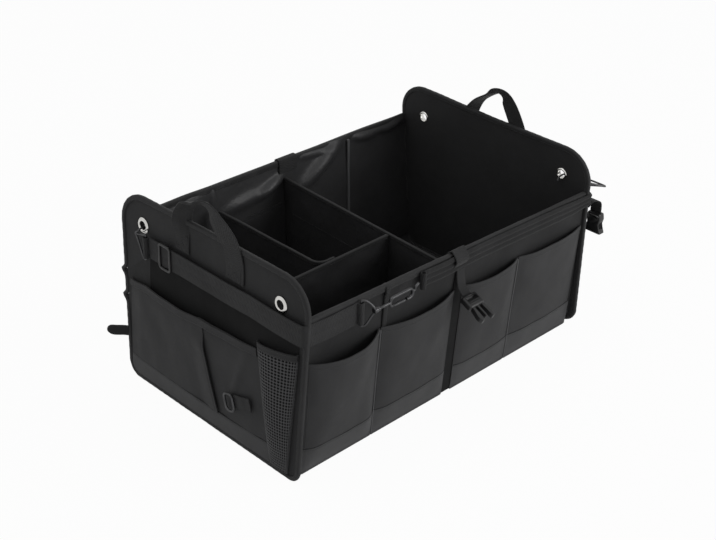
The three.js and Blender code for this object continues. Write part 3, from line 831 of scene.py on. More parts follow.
@dataclass(frozen=True)
class HardFinish(Finish):
    """A moulded or metal finish."""

    metallic: float
    grain: float

    def surface(
        self, hand: Nodes, place: bpy.types.Node, handling: bpy.types.Node, shader: bpy.types.Node
    ) -> None:
        """Wires fine grain and slow changes of tone and roughness.

        Args:
            hand: the hand that wires the material.
            place: the node of the piece's coordinates; not used here.
            handling: the marks of handling.
            shader: the material's shader.
        """
        shader.inputs["Metallic"].default_value = self.metallic
        handling.inputs["Size"].default_value = 0.012
        tone = toned(hand, handling.outputs["Tone"], self.dark, self.light, 0.3, 0.7)
        hand.wire(tone, shader.inputs["Base Color"])
        rough = hand.math("MULTIPLY_ADD", handling.outputs["Crease"], 0.2, self.roughness - 0.1)
        hand.wire(rough, shader.inputs["Roughness"])
        bump = relief(hand, handling.outputs["Dust"], 0.4, self.grain)
        hand.wire(bump.outputs[0], shader.inputs["Normal"])


def grey(level: float) -> Colour:
    """A near-neutral grey, a touch cool."""
    return (level, level, level * 1.03)


def cloth(
    name: str, slot: str, tones: Pair, roughness: float, weave: tuple[float, float, float],
    sheen: float, pattern: Pattern = Pattern.PLAIN,
) -> ClothFinish:
    """A grey cloth; `weave` is its thread pitch, thread relief and creases in millimetres."""
    return ClothFinish(name, slot, grey(tones[0]), grey(tones[1]), roughness, *weave, sheen, pattern)


RIBBED, CHEVRON = Pattern.RIBBED, Pattern.CHEVRON
SHELL = cloth("shell polyester", "shell", (0.020, 0.030), 0.78, (0.9, 0.10, 0.9), 0.06)
POCKET = cloth("pocket polyester", "pocket", (0.032, 0.043), 0.78, (0.9, 0.10, 0.9), 0.08)
BAND = cloth("base band cloth", "band", (0.046, 0.060), 0.66, (0.7, 0.06, 0.6), 0.08)
# The shell cloth again, made darker as painted shade: for the front wall, whose strip above the pocket mouths
# lies in shade under the rim and strap, for its upper seam fold, and for the half-shaded rear strip of the
# left end.
SHADED_SHELL = cloth("shell polyester with painted shade", "shell", (0.013, 0.021), 0.78, (0.9, 0.10, 1.3), 0.06)
LINING = cloth("coated lining", "lining", (0.027, 0.044), 0.46, (0.9, 0.05, 2.2), 0.0)
# The coated lining again, made lighter as painted light for the back wall's inner face.
LIT_LINING = cloth("coated lining with painted light", "lining", (0.034, 0.053), 0.40, (0.9, 0.05, 2.2), 0.0)
# A near-black sheet that is painted shade, not a cloth of the object: used in the front pleat, in the left
# eyelets' barrels and behind the left pockets under the strap.
PAINTED_SHADE = cloth("painted shade cloth", "lining", (0.0035, 0.006), 0.9, (0.9, 0.05, 0.3), 0.0)
DIVIDER_TAPE = cloth("divider tape", "edge", (0.012, 0.021), 0.72, (1.3, 0.12, 0.4), 0.05, RIBBED)
TAPE = cloth("binding tape", "edge", (0.019, 0.031), 0.72, (1.3, 0.16, 0.4), 0.08, RIBBED)
# Light grey seam piping on the front pockets; the same finish along the back wall's crease is a painted
# highlight.
PIPING_AND_PAINTED_HIGHLIGHT = cloth("seam piping and painted highlight", "edge", (0.09, 0.13), 0.6, (0.8, 0.1, 0.2), 0.1, RIBBED)
WEBBING = cloth("webbing", "strap", (0.014, 0.033), 0.8, (2.6, 0.6, 0.3), 0.1, CHEVRON)
RIM_WEBBING = cloth("rim webbing", "strap", (0.010, 0.023), 0.8, (2.4, 0.5, 0.3), 0.06, CHEVRON)
NET_TAPE = cloth("net tape", "edge", (0.014, 0.024), 0.72, (1.3, 0.16, 0.4), 0.06, RIBBED)
THREAD = cloth("sewing thread", "edge", (0.032, 0.050), 0.6, (0.6, 0.05, 0.1), 0.1)
NET = cloth("knitted net", "pocket", (0.050, 0.080), 0.7, (0.8, 0.10, 0.2), 0.1)
PLASTIC = HardFinish("moulded plastic", "plastic", grey(0.010), grey(0.018), 0.38, 0.0, 0.05)
COATED_WIRE = HardFinish("coated wire", "wire", grey(0.05), grey(0.10), 0.32, 0.9, 0.03)
NICKEL = HardFinish("bright nickel", "nickel", (0.72, 0.71, 0.68), (0.86, 0.85, 0.82), 0.2, 1.0, 0.02)


def dress(
    piece: bpy.types.Object, finish: Finish, stands_for: Sequence[str] = (), body: str = MAIN_BODY
) -> bpy.types.Object:
    """Gives a piece its finish and its body, and hides the nodes that it stands for.

    Args:
        piece: the finished piece.
        finish: what it is made of.
        stands_for: the part's nodes that it replaces.
        body: the body that it moves with.

    Returns:
        The same piece.
    """
    piece.data.materials.clear()
    piece.data.materials.append(finish.material())
    if stands_for:
        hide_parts(*stands_for)
    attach(piece, body)
    LOG.info("%s: %s, %d faces", piece.name, finish.name, len(piece.data.polygons))
    return piece


# The studio


@dataclass
class Studio:
    """The camera at the photograph's view, soft lamps, and a white floor and backdrop."""

    position: Vector = field(default_factory=lambda: Vector((-1.3065, -1.2756, 1.1832)))
    turn: tuple[float, float, float] = (60.173, -1.553, -44.663)
    lens: float = 68.567
    ambient: float = 0.36
    key_watts: float = 30.0
    top_watts: float = 9.0

    def camera(self) -> None:
        """Places the camera, all of its view sharp."""
        data = bpy.data.cameras.new("photo_view")
        data.lens = self.lens
        data.sensor_width = 36.0
        data.sensor_fit = "HORIZONTAL"
        data.dof.use_dof = False
        eye = bpy.data.objects.new("photo_view", data)
        eye.location = self.position
        eye.rotation_euler = Euler([math.radians(a) for a in self.turn])
        bpy.context.scene.collection.objects.link(eye)
        bpy.context.scene.camera = eye

    def lamp(self, name: str, place: Vector, aim: Vector, size: float, watts: float) -> None:
        """A soft square lamp at `place`, turned to `aim`."""
        data = bpy.data.lights.new(name, "AREA")
        data.size = size
        data.energy = watts
        lamp = bpy.data.objects.new(name, data)
        lamp.location = place
        lamp.rotation_euler = (aim - place).to_track_quat("-Z", "Y").to_euler()
        bpy.context.scene.collection.objects.link(lamp)

    def seen_white(self, hand: Nodes) -> bpy.types.NodeSocket:
        """1 for camera, mirror and glass rays, 0 for the rest."""
        rays = hand.add("ShaderNodeLightPath")
        seen = hand.math(
            "MAXIMUM", rays.outputs["Is Camera Ray"], rays.outputs["Is Transmission Ray"]
        )
        return hand.math("MAXIMUM", seen, hand.math("MULTIPLY", rays.outputs["Is Glossy Ray"], 0.5))

    def world(self) -> None:
        """An even surround, white where it is seen."""
        world = bpy.data.worlds.new("studio")
        bpy.context.scene.world = world
        world.use_nodes = True
        hand = Nodes(world.node_tree)
        plain = hand.add("ShaderNodeBackground")
        plain.inputs["Color"].default_value = (1, 1, 1, 1)
        plain.inputs["Strength"].default_value = self.ambient
        white = hand.add("ShaderNodeBackground")
        white.inputs["Color"].default_value = (1, 1, 1, 1)
        mix = hand.add("ShaderNodeMixShader")
        out = hand.add("ShaderNodeOutputWorld")
        hand.wire(self.seen_white(hand), mix.inputs[0])
        hand.wire(plain.outputs[0], mix.inputs[1])
        hand.wire(white.outputs[0], mix.inputs[2])
        hand.wire(mix.outputs[0], out.inputs["Surface"])

    def floor(self) -> None:
        """A white floor that keeps a faint shadow of the object."""
        clear_selection()
        bpy.ops.mesh.primitive_plane_add(size=14.0, location=(0, 0, -0.0006))
        floor = bpy.context.object
        floor.name = "studio_floor"
        material = bpy.data.materials.new("white floor")
        material.use_nodes = True
        hand = Nodes(material.node_tree)
        matt = hand.add("ShaderNodeBsdfDiffuse")
        matt.inputs["Color"].default_value = (0.9, 0.9, 0.9, 1)
        glow = hand.add("ShaderNodeEmission")
        mix = hand.add("ShaderNodeMixShader")
        out = hand.add("ShaderNodeOutputMaterial")
        hand.wire(hand.math("MULTIPLY", self.seen_white(hand), 0.96), mix.inputs[0])
        hand.wire(matt.outputs[0], mix.inputs[1])
        hand.wire(glow.outputs[0], mix.inputs[2])
        hand.wire(mix.outputs[0], out.inputs["Surface"])
        floor.data.materials.append(material)

    def build(self) -> None:
        """Sets up the whole studio."""
        self.camera()
        self.world()
        self.floor()
        aim = Vector((0.0, 0.0, 0.12))
        self.lamp("key", Vector((1.3, -2.6, 1.1)), aim, 1.6, self.key_watts)
        self.lamp("top", Vector((-0.6, 0.4, 2.6)), aim, 1.8, self.top_watts)
        scene = bpy.context.scene
        scene.view_settings.view_transform = "Standard"


# Ends


@dataclass
class EndWall:
    """One end: a stiff panel with a taped edge, two eyelets and a carry handle."""

    name: str
    wall: WallFrame
    front: int
    knots: Sequence[Pair] = ()
    front_foot: float = 24.0
    toe: float = 5.0
    rear_rise: float = 0.0
    shade_sleeves: bool = False
    knot_height: float = 9.0
    proud: float = 2.0
    eyelet_hole: float = 7.4
    handle_half: float = 56.0
    handle_foot: float = 258.0
    handle_top: float = 348.0
    handle_width: float = 33.0
    handle_peak: float = 0.0
    arch: float = 0.0
    webbing: float = 1.8

    def corners(self, inset: float) -> tuple[list[Pair], list[float]]:
        """The outline's corners and radii, drawn in by `inset`."""
        low, high = GAP + self.proud + inset, END_HEIGHT - self.proud - inset
        low_half, high_half = half_width(low) - inset, half_width(high) - inset
        feet = (FOOT_RADIUS - inset, self.front_foot - inset)[:: self.front]
        head = END_TOP_RADIUS - inset
        near, far = (0.0, self.toe)[:: self.front]
        feet_at = [(-low_half - near, low), (low_half + far, low)]
        return [*feet_at, (high_half, high), (-high_half, high)], [*feet, head, head]

    def half_at(self, v: float, inset: float, side: int) -> float:
        """Half the panel's width at height v, on the -u or the +u side."""
        corners, radii = self.corners(inset)
        low, high = corners[0][1], corners[2][1]
        toe = self.toe * (side * self.front > 0) * (high - v) / (high - low)
        half = half_width(v) - inset + toe
        for edge, radius in ((v - low, radii[side > 0]), (high - v, radii[2])):
            if edge < radius:
                half -= radius - math.sqrt(max(radius ** 2 - (radius - edge) ** 2, 0.0))
        return half

    def risen(self, u: float, v: float) -> float:
        """The height v with the rear of the panel's head pulled up or down."""
        return v + self.rear_rise * smooth(110, 310, v) * smooth(30, -170, u * self.front)

    def panel(self) -> None:
        """The stiffened panel, with a little slack in its cloth."""
        inset = 4.0
        corners, _ = self.corners(inset)
        low, high = corners[0][1], corners[2][1]

        def place(s: float, t: float) -> Vector:
            v = low + (high - low) * (0.5 - 0.5 * math.cos(math.pi * t))
            u = -self.half_at(v, inset, -1) * (1 - s) + self.half_at(v, inset, 1) * s
            slack = 0.7 * crumple(u, v, 85, len(self.name)) - 0.7
            return self.wall.at(u, self.risen(u, v), min(slack, -0.1))

        panel = thick_sheet(f"{self.name}_panel_cloth", 110, 72, place, (390, 306), WALL)
        for u in (-EYELET_OFFSET, EYELET_OFFSET):
            clear_selection()
            bpy.ops.mesh.primitive_cylinder_add(vertices=32, radius=self.eyelet_hole * MM, depth=0.03)
            tool = bpy.context.object
            tool.location = self.wall.at(u, EYELET_HEIGHT) * MM
            tool.rotation_euler = self.wall.normal.to_track_quat("Z", "Y").to_euler()
            cut(panel, tool)
        smooth_faces(panel)
        dress(panel, SHELL, [f"{self.name}_panel"])

    def edge_line(self, inset: float, w: float) -> tuple[list[Vector], list[Vector]]:
        """Points round the panel's edge, and the outward direction at each."""
        corners, radii = self.corners(inset)
        path = rounded_path(corners, radii, 12, 4.0)
        line = [self.wall.at(u, self.risen(u, v), w) for u, v in path]
        outward = [ahead.cross(self.wall.normal) for ahead in headings(line, True)]
        return line, outward

    def knot(self, point: Vector) -> float:
        """How far a loop sewn under the tape pushes it out at this point."""
        local = point - self.wall.foot
        u, v = local.dot(self.wall.along), local.dot(self.wall.up)
        away = [(u - a) ** 2 + (v - b) ** 2 for a, b in self.knots]
        return self.knot_height * sum(math.exp(-gap / 34) for gap in away)

    def binding(self) -> None:
        """The tape folded over the panel's edge, slightly puckered by its seam."""
        line, outward = self.edge_line(2.0, -2.0)
        stations = []
        run = 0.0
        for i, (point, out) in enumerate(zip(line, outward)):
            run += (point - line[i - 1]).length if i else 0.0
            pucker = 0.28 * math.sin(TAU * run / 13) + 0.35 * crumple(run, 0, 40, 3)
            centre = point + out * (pucker * 0.5 + self.knot(point))
            stations.append(Station(centre, out, self.wall.normal, (1.0, 1.0 + 0.08 * pucker)))
        tape = swept(f"{self.name}_binding_tape", stations, oval(4.0, 3.5, 20, 3.0), True)
        dress(tape, TAPE, [f"{self.name}_binding"])

    def stitching(self) -> None:
        """The tape's seam on both faces, and the handle's foot seams."""
        runs: list[Run] = []
        for w, face in ((1.35, 1), (-5.4, -1)):
            line, _ = self.edge_line(4.3, w)
            normal = self.wall.normal * face
            runs.append([(point, normal) for point in [*line, line[0]]])
        for side in (-1, 1):
            u, low = side * self.handle_half, self.handle_foot
            w = GAP + self.webbing + 0.1
            square = [(-12, 3), (12, 3), (12, 26), (-12, 26), (-12, 3), (12, 26), (12, 3), (-12, 26)]
            for (a, b), (c, d) in zip(square, square[1:]):
                ends = [self.wall.at(u + a, low + b, w), self.wall.at(u + c, low + d, w)]
                runs.append([(point, self.wall.normal) for point in ends])
        dress(sewn(f"{self.name}_end_stitches", runs), THREAD)

    def eyelets(self) -> None:
        """Two rolled metal eyelets with flanges on both faces."""
        low = -WALL - GAP
        face = [
            (6.6, 0.0), (6.7, 1.2), (7.3, 1.8), (8.4, 2.0), (9.8, 1.8), (11.2, 1.1), (12.0, 0.3), (11.8, 0.0),
        ]
        section = [(7.1, GAP), (7.1, low)]
        section += [(6.6 + (r - 6.6) * 0.6, low - h) for r, h in reversed(face)]
        section += [(r, GAP + h) for r, h in face]
        for letter, u in (("a", -EYELET_OFFSET), ("b", EYELET_OFFSET)):
            centre = self.wall.at(u, EYELET_HEIGHT)
            stations = []
            for i in range(40):
                angle = TAU * i / 40
                radial = self.wall.along * math.cos(angle) + self.wall.up * math.sin(angle)
                stations.append(Station(centre, radial, self.wall.normal))
            ring = swept(f"{self.name}_eyelet_{letter}_rolled", stations, section, True)
            dress(ring, NICKEL, [f"{self.name}_eyelet_{letter}"])
            # A near-black sleeve inside each barrel: painted shade in the hole.
            if self.shade_sleeves:
                tube = [(6.5, 0.8), (5.9, 0.8), (5.9, low - 0.8), (6.5, low - 0.8)]
                dress(swept(f"{self.name}_eyelet_{letter}_liner", stations, tube, True), PAINTED_SHADE)

    def handle(self) -> None:
        """A webbing handle: flat feet, twisting legs and a bowed grip."""
        lift = GAP + self.webbing / 2
        top = self.handle_top - 2
        half, foot, peak = self.handle_half, self.handle_foot, self.handle_peak
        plan = [
            (half, foot, lift, 0), (half, foot + 15, lift, 0), (half - 2, foot + 32, lift + 0.6, 0),
            (half - 10, foot + 53, lift + 1.5, 4), (half - 29 + peak * 0.5, top - 18, lift + 2, 8),
            (half - 45 + peak, top - 4, lift + 2, 22), (peak - 3, top, lift + 1, 50),
        ]
        for pointed, arched, out, angle in (
            ((peak - 16, top - 7), (-20, top - 1), 2, 78), ((24 - half, top - 25), (-41, top - 8), 3, 70),
            ((9 - half, foot + 50), (3 - half, foot + 58), 3, 46),
            ((2 - half, foot + 32), (-half, foot + 34), 1.4, 14),
        ):
            u, v = Vector(pointed).lerp(Vector(arched), self.arch)
            plan.append((u, v, lift + out, angle))
        plan += [(-half, foot + 15, lift, 0), (-half, foot, lift, 0)]
        plan = [(u * self.front, v, w, angle) for u, v, w, angle in plan]
        line = curve_through([self.wall.at(u, v, w) for u, v, w, _ in plan], 8)
        turns = curve_through([Vector((angle, 0, 0)) for *_, angle in plan], 8)
        thin = [smooth(-8, -30, self.front * (point - self.wall.foot).dot(self.wall.along)) for point in line]
        widths = [self.handle_width - 4.0 * smooth(20, 70, t.x) - 7.0 * f for t, f in zip(turns, thin)]
        stations = []
        for point, ahead, turn, width in zip(line, headings(line), turns, widths):
            flat = ahead.cross(self.wall.normal).normalized()
            angle = math.radians(turn.x)
            side = flat * math.cos(angle) + self.wall.normal * math.sin(angle)
            thick = 1.0 + 0.5 * smooth(20, 70, turn.x)
            share = (width / self.handle_width, thick)
            stations.append(Station(point, side, side.cross(ahead), share))
        section = flat_section(self.handle_width, self.webbing, 10)
        strap = swept(f"{self.name}_handle_webbing", stations, section)
        dress(strap, WEBBING, [f"{self.name}_handle"])

    def build(self) -> None:
        """Makes and dresses the whole end."""
        self.panel()
        self.binding()
        self.eyelets()
        self.handle()
        self.stitching()


# Floor and long walls


@dataclass
class Shell:
    """The floor with its board, and the front and back walls with taped rims."""

    pan: float = 3.0
    board: float = 4.0
    board_margin: float = 12.0
    tape: float = 1.5
    tape_depth: float = 8.0
    low: float = FOOT_RADIUS + GAP
    high: float = RIM_HEIGHT - 1.8
    crease: float = -152.5

    def drift(self, wall: WallFrame, u: float) -> float:
        """How far a rim sags or rides up at u; only the front one does."""
        return -6.0 * u / 290 if wall is FRONT else 0.0

    def floor_pan(self) -> None:
        """The cloth floor, turned up along both long sides."""
        outer = half_width(FOOT_RADIUS)
        flat = outer - FOOT_RADIUS
        arc = FOOT_RADIUS * math.pi / 2
        total = 2 * (flat + arc)
        reach = wall_end(FOOT_RADIUS)

        def place(s: float, t: float) -> Vector:
            x = (2 * s - 1) * reach
            run = (2 * t - 1) * total / 2
            side = math.copysign(1, run)
            past = abs(run) - flat
            if past <= 0:
                return Vector((x, run, 0.05 + 0.5 * max(0.0, crumple(x, run, 90, 5))))
            angle = past / FOOT_RADIUS
            y = flat + FOOT_RADIUS * math.sin(angle)
            return Vector((x, side * y, FOOT_RADIUS * (1 - math.cos(angle))))

        pan = thick_sheet("floor_pan_cloth", 90, 70, place, (2 * reach, total), self.pan, 1.0)
        dress(pan, SHELL, ["floor_pan"])

    def base_board(self) -> None:
        """The covered base board, with two fold lines across it."""
        reach = wall_end(0) - self.board_margin
        side = half_width(0) - FOOT_RADIUS
        bottom = self.pan + GAP

        def place(s: float, t: float) -> Vector:
            x, y = (2 * s - 1) * reach, (2 * t - 1) * side
            groove = 1.6 * sum(math.exp(-(((x - fold) / 3.5) ** 2)) for fold in (-FOLD_X, FOLD_X))
            edge = 0.9 * (1 - smooth(0, 5, min(reach - abs(x), side - abs(y))))
            return Vector((x, y, bottom + self.board - groove - edge + 0.25 * crumple(x, y, 60, 7)))

        board = thick_sheet("base_board_cover", 150, 60, place, (2 * reach, 2 * side), 2.0)
        dress(board, LINING, ["base_board"])

    def wall_place(self, wall: WallFrame, folds: Sequence[Fold], slack: float, seed: float) -> Place:
        """The surface of a long wall, with its folds lifted towards the inside."""

        def place(s: float, t: float) -> Vector:
            v = self.low + (self.high - self.low) * t
            u = (2 * s - 1) * wall_end(v)
            calm = smooth(0, 0.12, t) * smooth(0, 0.06, min(s, 1 - s)) * smooth(0, 0.05, 1 - t)
            lift = slack * calm * (0.6 + 0.6 * crumple(u, v, 70, seed))
            lift += sum(fold.lift(u, v) for fold in folds)
            return wall.at(u, v + self.drift(wall, u) * t * t, -max(lift, 0.0))

        return place

    def front_wall(self) -> None:
        """The front wall, plain behind its pockets, in the shell cloth made darker as painted shade."""
        folds = (
            Fold((-250, 236), (-190, 200), 2.4, 14), Fold((60, 240), (120, 205), 2.4, 14),
            Fold((-120, 232), (-60, 204), 2.2, 12), Fold((170, 236), (230, 206), 2.4, 15),
        )
        place = self.wall_place(FRONT, folds, 1.4, 11)
        dress(thick_sheet("front_wall_cloth", 130, 46, place, (600, 228), WALL), SHADED_SHELL, ["front_wall"])

    def back_wall(self) -> None:
        """The back wall, pulled into folds by its tab, its fold line and its far corner, in the lining made
        lighter as painted light, with a painted highlight along its crease.
        """
        folds = (
            Fold((133, 250), (136, 205), 3.6, 4.0),
            Fold((-138, 252), (-50, 192), 11.0, 11.0),
            Fold((-166, 246), (-215, 238), 6.5, 6.0),
            Fold((-205, 243), (-250, 241), 4.6, 4.5),
            Fold((-240, 238), (-292, 247), 6.5, 6.0),
            Fold((-6, 226), (42, 207), 10.0, 7.0),
            Fold((30, 212), (112, 203), 5.4, 10.0),
            Fold((-44, 247), (-118, 240), 3.6, 5.0),
            Fold((150, 244), (260, 214), 3.5, 14.0),
        )
        place = self.wall_place(BACK, folds, 0.8, 17)
        # The lighter copy of the lining: painted light on the back wall.
        dress(thick_sheet("back_wall_cloth", 240, 84, place, (600, 228), WALL), LIT_LINING, ["back_wall"])
        # A raised light strip along the crease: its ridge is the fold, its light grey colour a painted
        # highlight.
        crease_highlight = [
            BACK.at(self.crease + 0.9 * math.sin(v / 40), v, -WALL - 1.9 - 2.0 * smooth(190, 240, v))
            for v in range(30, 248, 7)
        ]
        dress(swept("back_wall_crease", along_line(crease_highlight, BACK.along), oval(2.5, 2.4, 12)), PIPING_AND_PAINTED_HIGHLIGHT)

    def rim(self, name: str, wall: WallFrame, wave: float, seed: float) -> None:
        """The tape folded over one long rim."""
        edge = RIM_HEIGHT - self.tape - GAP
        low_face, high_face = -WALL - GAP - self.tape, GAP + self.tape
        foot, top = edge - self.tape_depth, edge + GAP + self.tape
        arch = half_round((high_face + low_face) / 2, (high_face - low_face) / 2, top - 2.2, 2.2)
        section = [
            (high_face, foot + 0.4), *arch, (low_face, foot + 0.4), (low_face + 0.5, foot),
            (-WALL - 0.2, foot), (-WALL - 0.2, edge - 2), (0.2, edge - 2), (0.2, foot),
            (high_face - 0.5, foot),
        ]
        reach = wall_end(RIM_HEIGHT)
        stations, runs = [], ([], [])
        for i in range(201):
            u = -reach + 2 * reach * i / 200
            rise = wave * crumple(u, 0, 120, seed) * smooth(0, 40, reach - abs(u)) + self.drift(wall, u)
            bulk = 1 + 0.06 * crumple(u, 5, 16, seed)
            stations.append(Station(wall.at(u, rise, 0), wall.normal, wall.up, (bulk, 1.0)))
            runs[0].append((wall.at(u, rise + foot + 2.2, high_face * bulk), wall.normal))
            runs[1].append((wall.at(u, rise + foot + 2.2, low_face * bulk), -wall.normal))
        dress(swept(f"{name}_tape", stations, section), TAPE, [f"{name}_binding"])
        dress(sewn(f"{name}_stitches", runs), THREAD)

    def build(self) -> None:
        """Makes and dresses floor and long walls."""
        self.floor_pan()
        self.base_board()
        self.front_wall()
        self.back_wall()
        self.rim("front_rim", FRONT, 0.9, 23)
        self.rim("back_rim", BACK, 1.6, 29)


# Pockets


@dataclass(frozen=True)
class PocketSheet:
    """One bowed pocket sheet: where its sides are, how far it bows and where it ends."""

    start: Side
    end: Side
    bow: float
    top: float
    proud_end: float = 0.0
    droop: float = 0.0
    seed: float = 1.0
    low: float = 2.0
    rise: float = 140.0
    belly: float = 55.0
    folds: Sequence[Fold] = ()
    span: tuple[Side, Side] | None = None
    proud_below: float = 1e4
    fall: Side | None = None

    def side_profile(self, v: float) -> float:
        """How far the sheet stands off at height v, before its sides hold it back."""
        share = 0.0
        for _ in range(6):
            reach = 2 * self.belly * share * (1 - share) + self.rise * share * share
            slope = 2 * self.belly * (1 - 2 * share) + 2 * self.rise * share
            share -= (reach - (v - self.low)) / max(slope, 1e-3)
            share = min(max(share, 0.0), 1.0)
        full = self.bow + 1
        return 2 * 0.55 * self.bow * share * (1 - share) + full * share * share

    def lift(self, s: float, v: float) -> float:
        """How far the sheet stands off the wall at share s and height v."""
        u = self.start(v) + (self.end(v) - self.start(v)) * s
        share = s
        if self.span:
            first, last = self.span[0](v), self.span[1](v)
            share = min(max((u - first) / (last - first), 0.0), 1.0)
        across = self.bow * (1 - (2 * share - 1) ** 2)
        side = self.side_profile(v)
        soft = 2.5
        drop = math.log(math.exp(-across / soft) + math.exp(-side / soft))
        lift = max(-soft * drop, 0.0) * (across > 0) + 0.6
        proud = self.proud_end * smooth(0.8, 1.0, s)
        lift += proud * smooth(self.proud_below + 16, self.proud_below - 10, v)
        calm = smooth(0, 0.1, min(share, 1 - share)) * smooth(0, 26, v - self.low)
        slack = 1.2 * crumple(u, v * 0.7, 62, self.seed)
        lift += calm * (slack + sum(fold.lift(u, v) for fold in self.folds))
        return lift + 0.7 * smooth(self.top - 10.5, self.top - 9, v)

    def surface(self, wall: WallFrame, low: float, high: float, extra: float = 0.0) -> Place:
        """The sheet's outer surface from one height to another."""

        def place(s: float, t: float) -> Vector:
            v = low + (high - low) * t
            u = self.start(v) + (self.end(v) - self.start(v)) * s
            dip = self.droop * math.sin(math.pi * s) * smooth(self.top - 60, self.top, v)
            if self.fall:
                dip += self.fall(u) * smooth(self.top - 60, self.top, v)
            return wall.at(u, v - dip, GAP + 1.0 + self.lift(s, v) + extra)

        return place


def fixed(value: float) -> Side:
    """A side that stays at one place at every height."""
    return lambda _height: value


@dataclass
class FrontPockets:
    """Four bowed pockets on the front wall, over a smoother base band."""

    seams: tuple[float, ...] = (-293.0, -157.0, -5.0, 12.0, 138.0, 293.0)
    bows: tuple[float, ...] = (22.0, 14.0, 12.0, 10.0)
    top: float = 190.0
    band_top: float = 46.0
    cloth: float = 1.6
    folds: tuple[tuple[Fold, ...], ...] = (
        (Fold((-285, 170), (-240, 70), 2.2, 20), Fold((-175, 165), (-200, 80), -1.6, 16)),
        (Fold((-148, 175), (-110, 120), 2.0, 16), Fold((-30, 180), (-60, 110), 1.8, 16)),
        (Fold((24, 178), (60, 120), 2.0, 16), Fold((128, 180), (100, 110), 1.6, 14)),
        (Fold((150, 180), (190, 110), 1.6, 18), Fold((280, 176), (240, 90), 1.6, 18)),
    )

    def sheets(self) -> list[PocketSheet]:
        """The four pocket sheets from left to right."""
        spans = ((0, 1), (1, 2), (3, 4), (4, 5))
        return [
            PocketSheet(
                fixed(self.seams[a] + 1), fixed(self.seams[b] - 1), self.bows[i], self.top,
                seed=31.0 + i, droop=(3.0, 2.0, 2.0, 1.5)[i], folds=self.folds[i],
            )
            for i, (a, b) in enumerate(spans)
        ]

    def pockets(self) -> list[Run]:
        """The pocket sheets, with their hems turned in."""
        runs: list[Run] = []
        for i, sheet in enumerate(self.sheets()):
            place = sheet.surface(FRONT, self.band_top + 1.0, self.top)
            size = (sheet.end(0) - sheet.start(0), 143)
            piece = thick_sheet(f"front_pocket_{i + 1}_cloth", 64, 56, place, size, self.cloth)
            dress(piece, POCKET, [f"front_pocket_{i + 1}"])
            runs.append(level_run(place, 1 - 8.0 / 143))
            runs.extend(upright_run(place, s) for s in (0.018, 0.982))
        return runs

    def band(self) -> list[Run]:
        """The base band, following the pockets' bellies, with a stitched upper edge."""
        sheets = self.sheets()
        low = 2.0

        def stand_off(u: float, v: float) -> float:
            for sheet in sheets:
                a, b = sheet.start(v), sheet.end(v)
                if a < u < b:
                    return sheet.lift((u - a) / (b - a), v)
            return 0.0

        parts, runs = [], []
        for start, end in ((self.seams[0] - 3, self.seams[2] - 1), (self.seams[3] + 1, self.seams[5] + 2)):

            def place(s: float, t: float, start: float = start, end: float = end) -> Vector:
                u = start + (end - start) * s
                v = low + (self.band_top - low) * t
                sway = 0.8 * noise.noise(Vector((u / 45, 3, 7)))
                return FRONT.at(u, v + sway * t, GAP + 1.2 + 0.55 * smooth(0.1, 0.35, t) + stand_off(u, v))

            parts.append(thick_sheet("length", 150, 18, place, (end - start, 44), self.cloth))
            runs += [level_run(place, t, 0.01, 0.99, 90) for t in (0.93, 0.07)]
        piece = gather("front_base_band_cloth", parts)
        dress(piece, BAND, ["front_base_band"])
        return runs

    def pleat(self) -> None:
        """The deep pleat between the middle pockets, its shade painted on a near-black sheet."""
        start, end = self.seams[2] - 1.5, self.seams[3] + 1.5

        def place(s: float, t: float) -> Vector:
            v = 3.0 + 212.0 * t
            return FRONT.at(start + (end - start) * s, v, 0.75 + 0.3 * crumple(s * 20, v, 40, 37))

        dress(thick_sheet("front_pleat_lining", 14, 40, place, (end - start, 212), 0.6), PAINTED_SHADE)

    def seam_ridges(self) -> None:
        """Narrow raised seams where two pockets meet."""
        parts = []
        for x in (self.seams[1], self.seams[4]):
            line = [FRONT.at(x + 0.4 * math.sin(v / 22), v, 2.2) for v in range(6, 190, 4)]
            parts.append(swept("ridge", along_line(line, FRONT.along), oval(1.0, 1.2, 10, 2.2)))
        dress(gather("front_seam_piping", parts), PIPING_AND_PAINTED_HIGHLIGHT)
        upper = [FRONT.at(-149.5, v, 0.9) for v in range(186, 244, 4)]
        fold = swept("front_upper_seam", along_line(upper, FRONT.along), oval(4.4, 1.4, 14, 2.6))
        # In the darker copy of the shell cloth, which is painted shade, like the wall behind it.
        dress(fold, SHADED_SHELL)

    def build(self) -> None:
        """Makes and dresses the front pockets."""
        runs = [*self.pockets(), *self.band()]
        self.pleat()
        self.seam_ridges()
        dress(sewn("front_pocket_stitches", runs), THREAD)


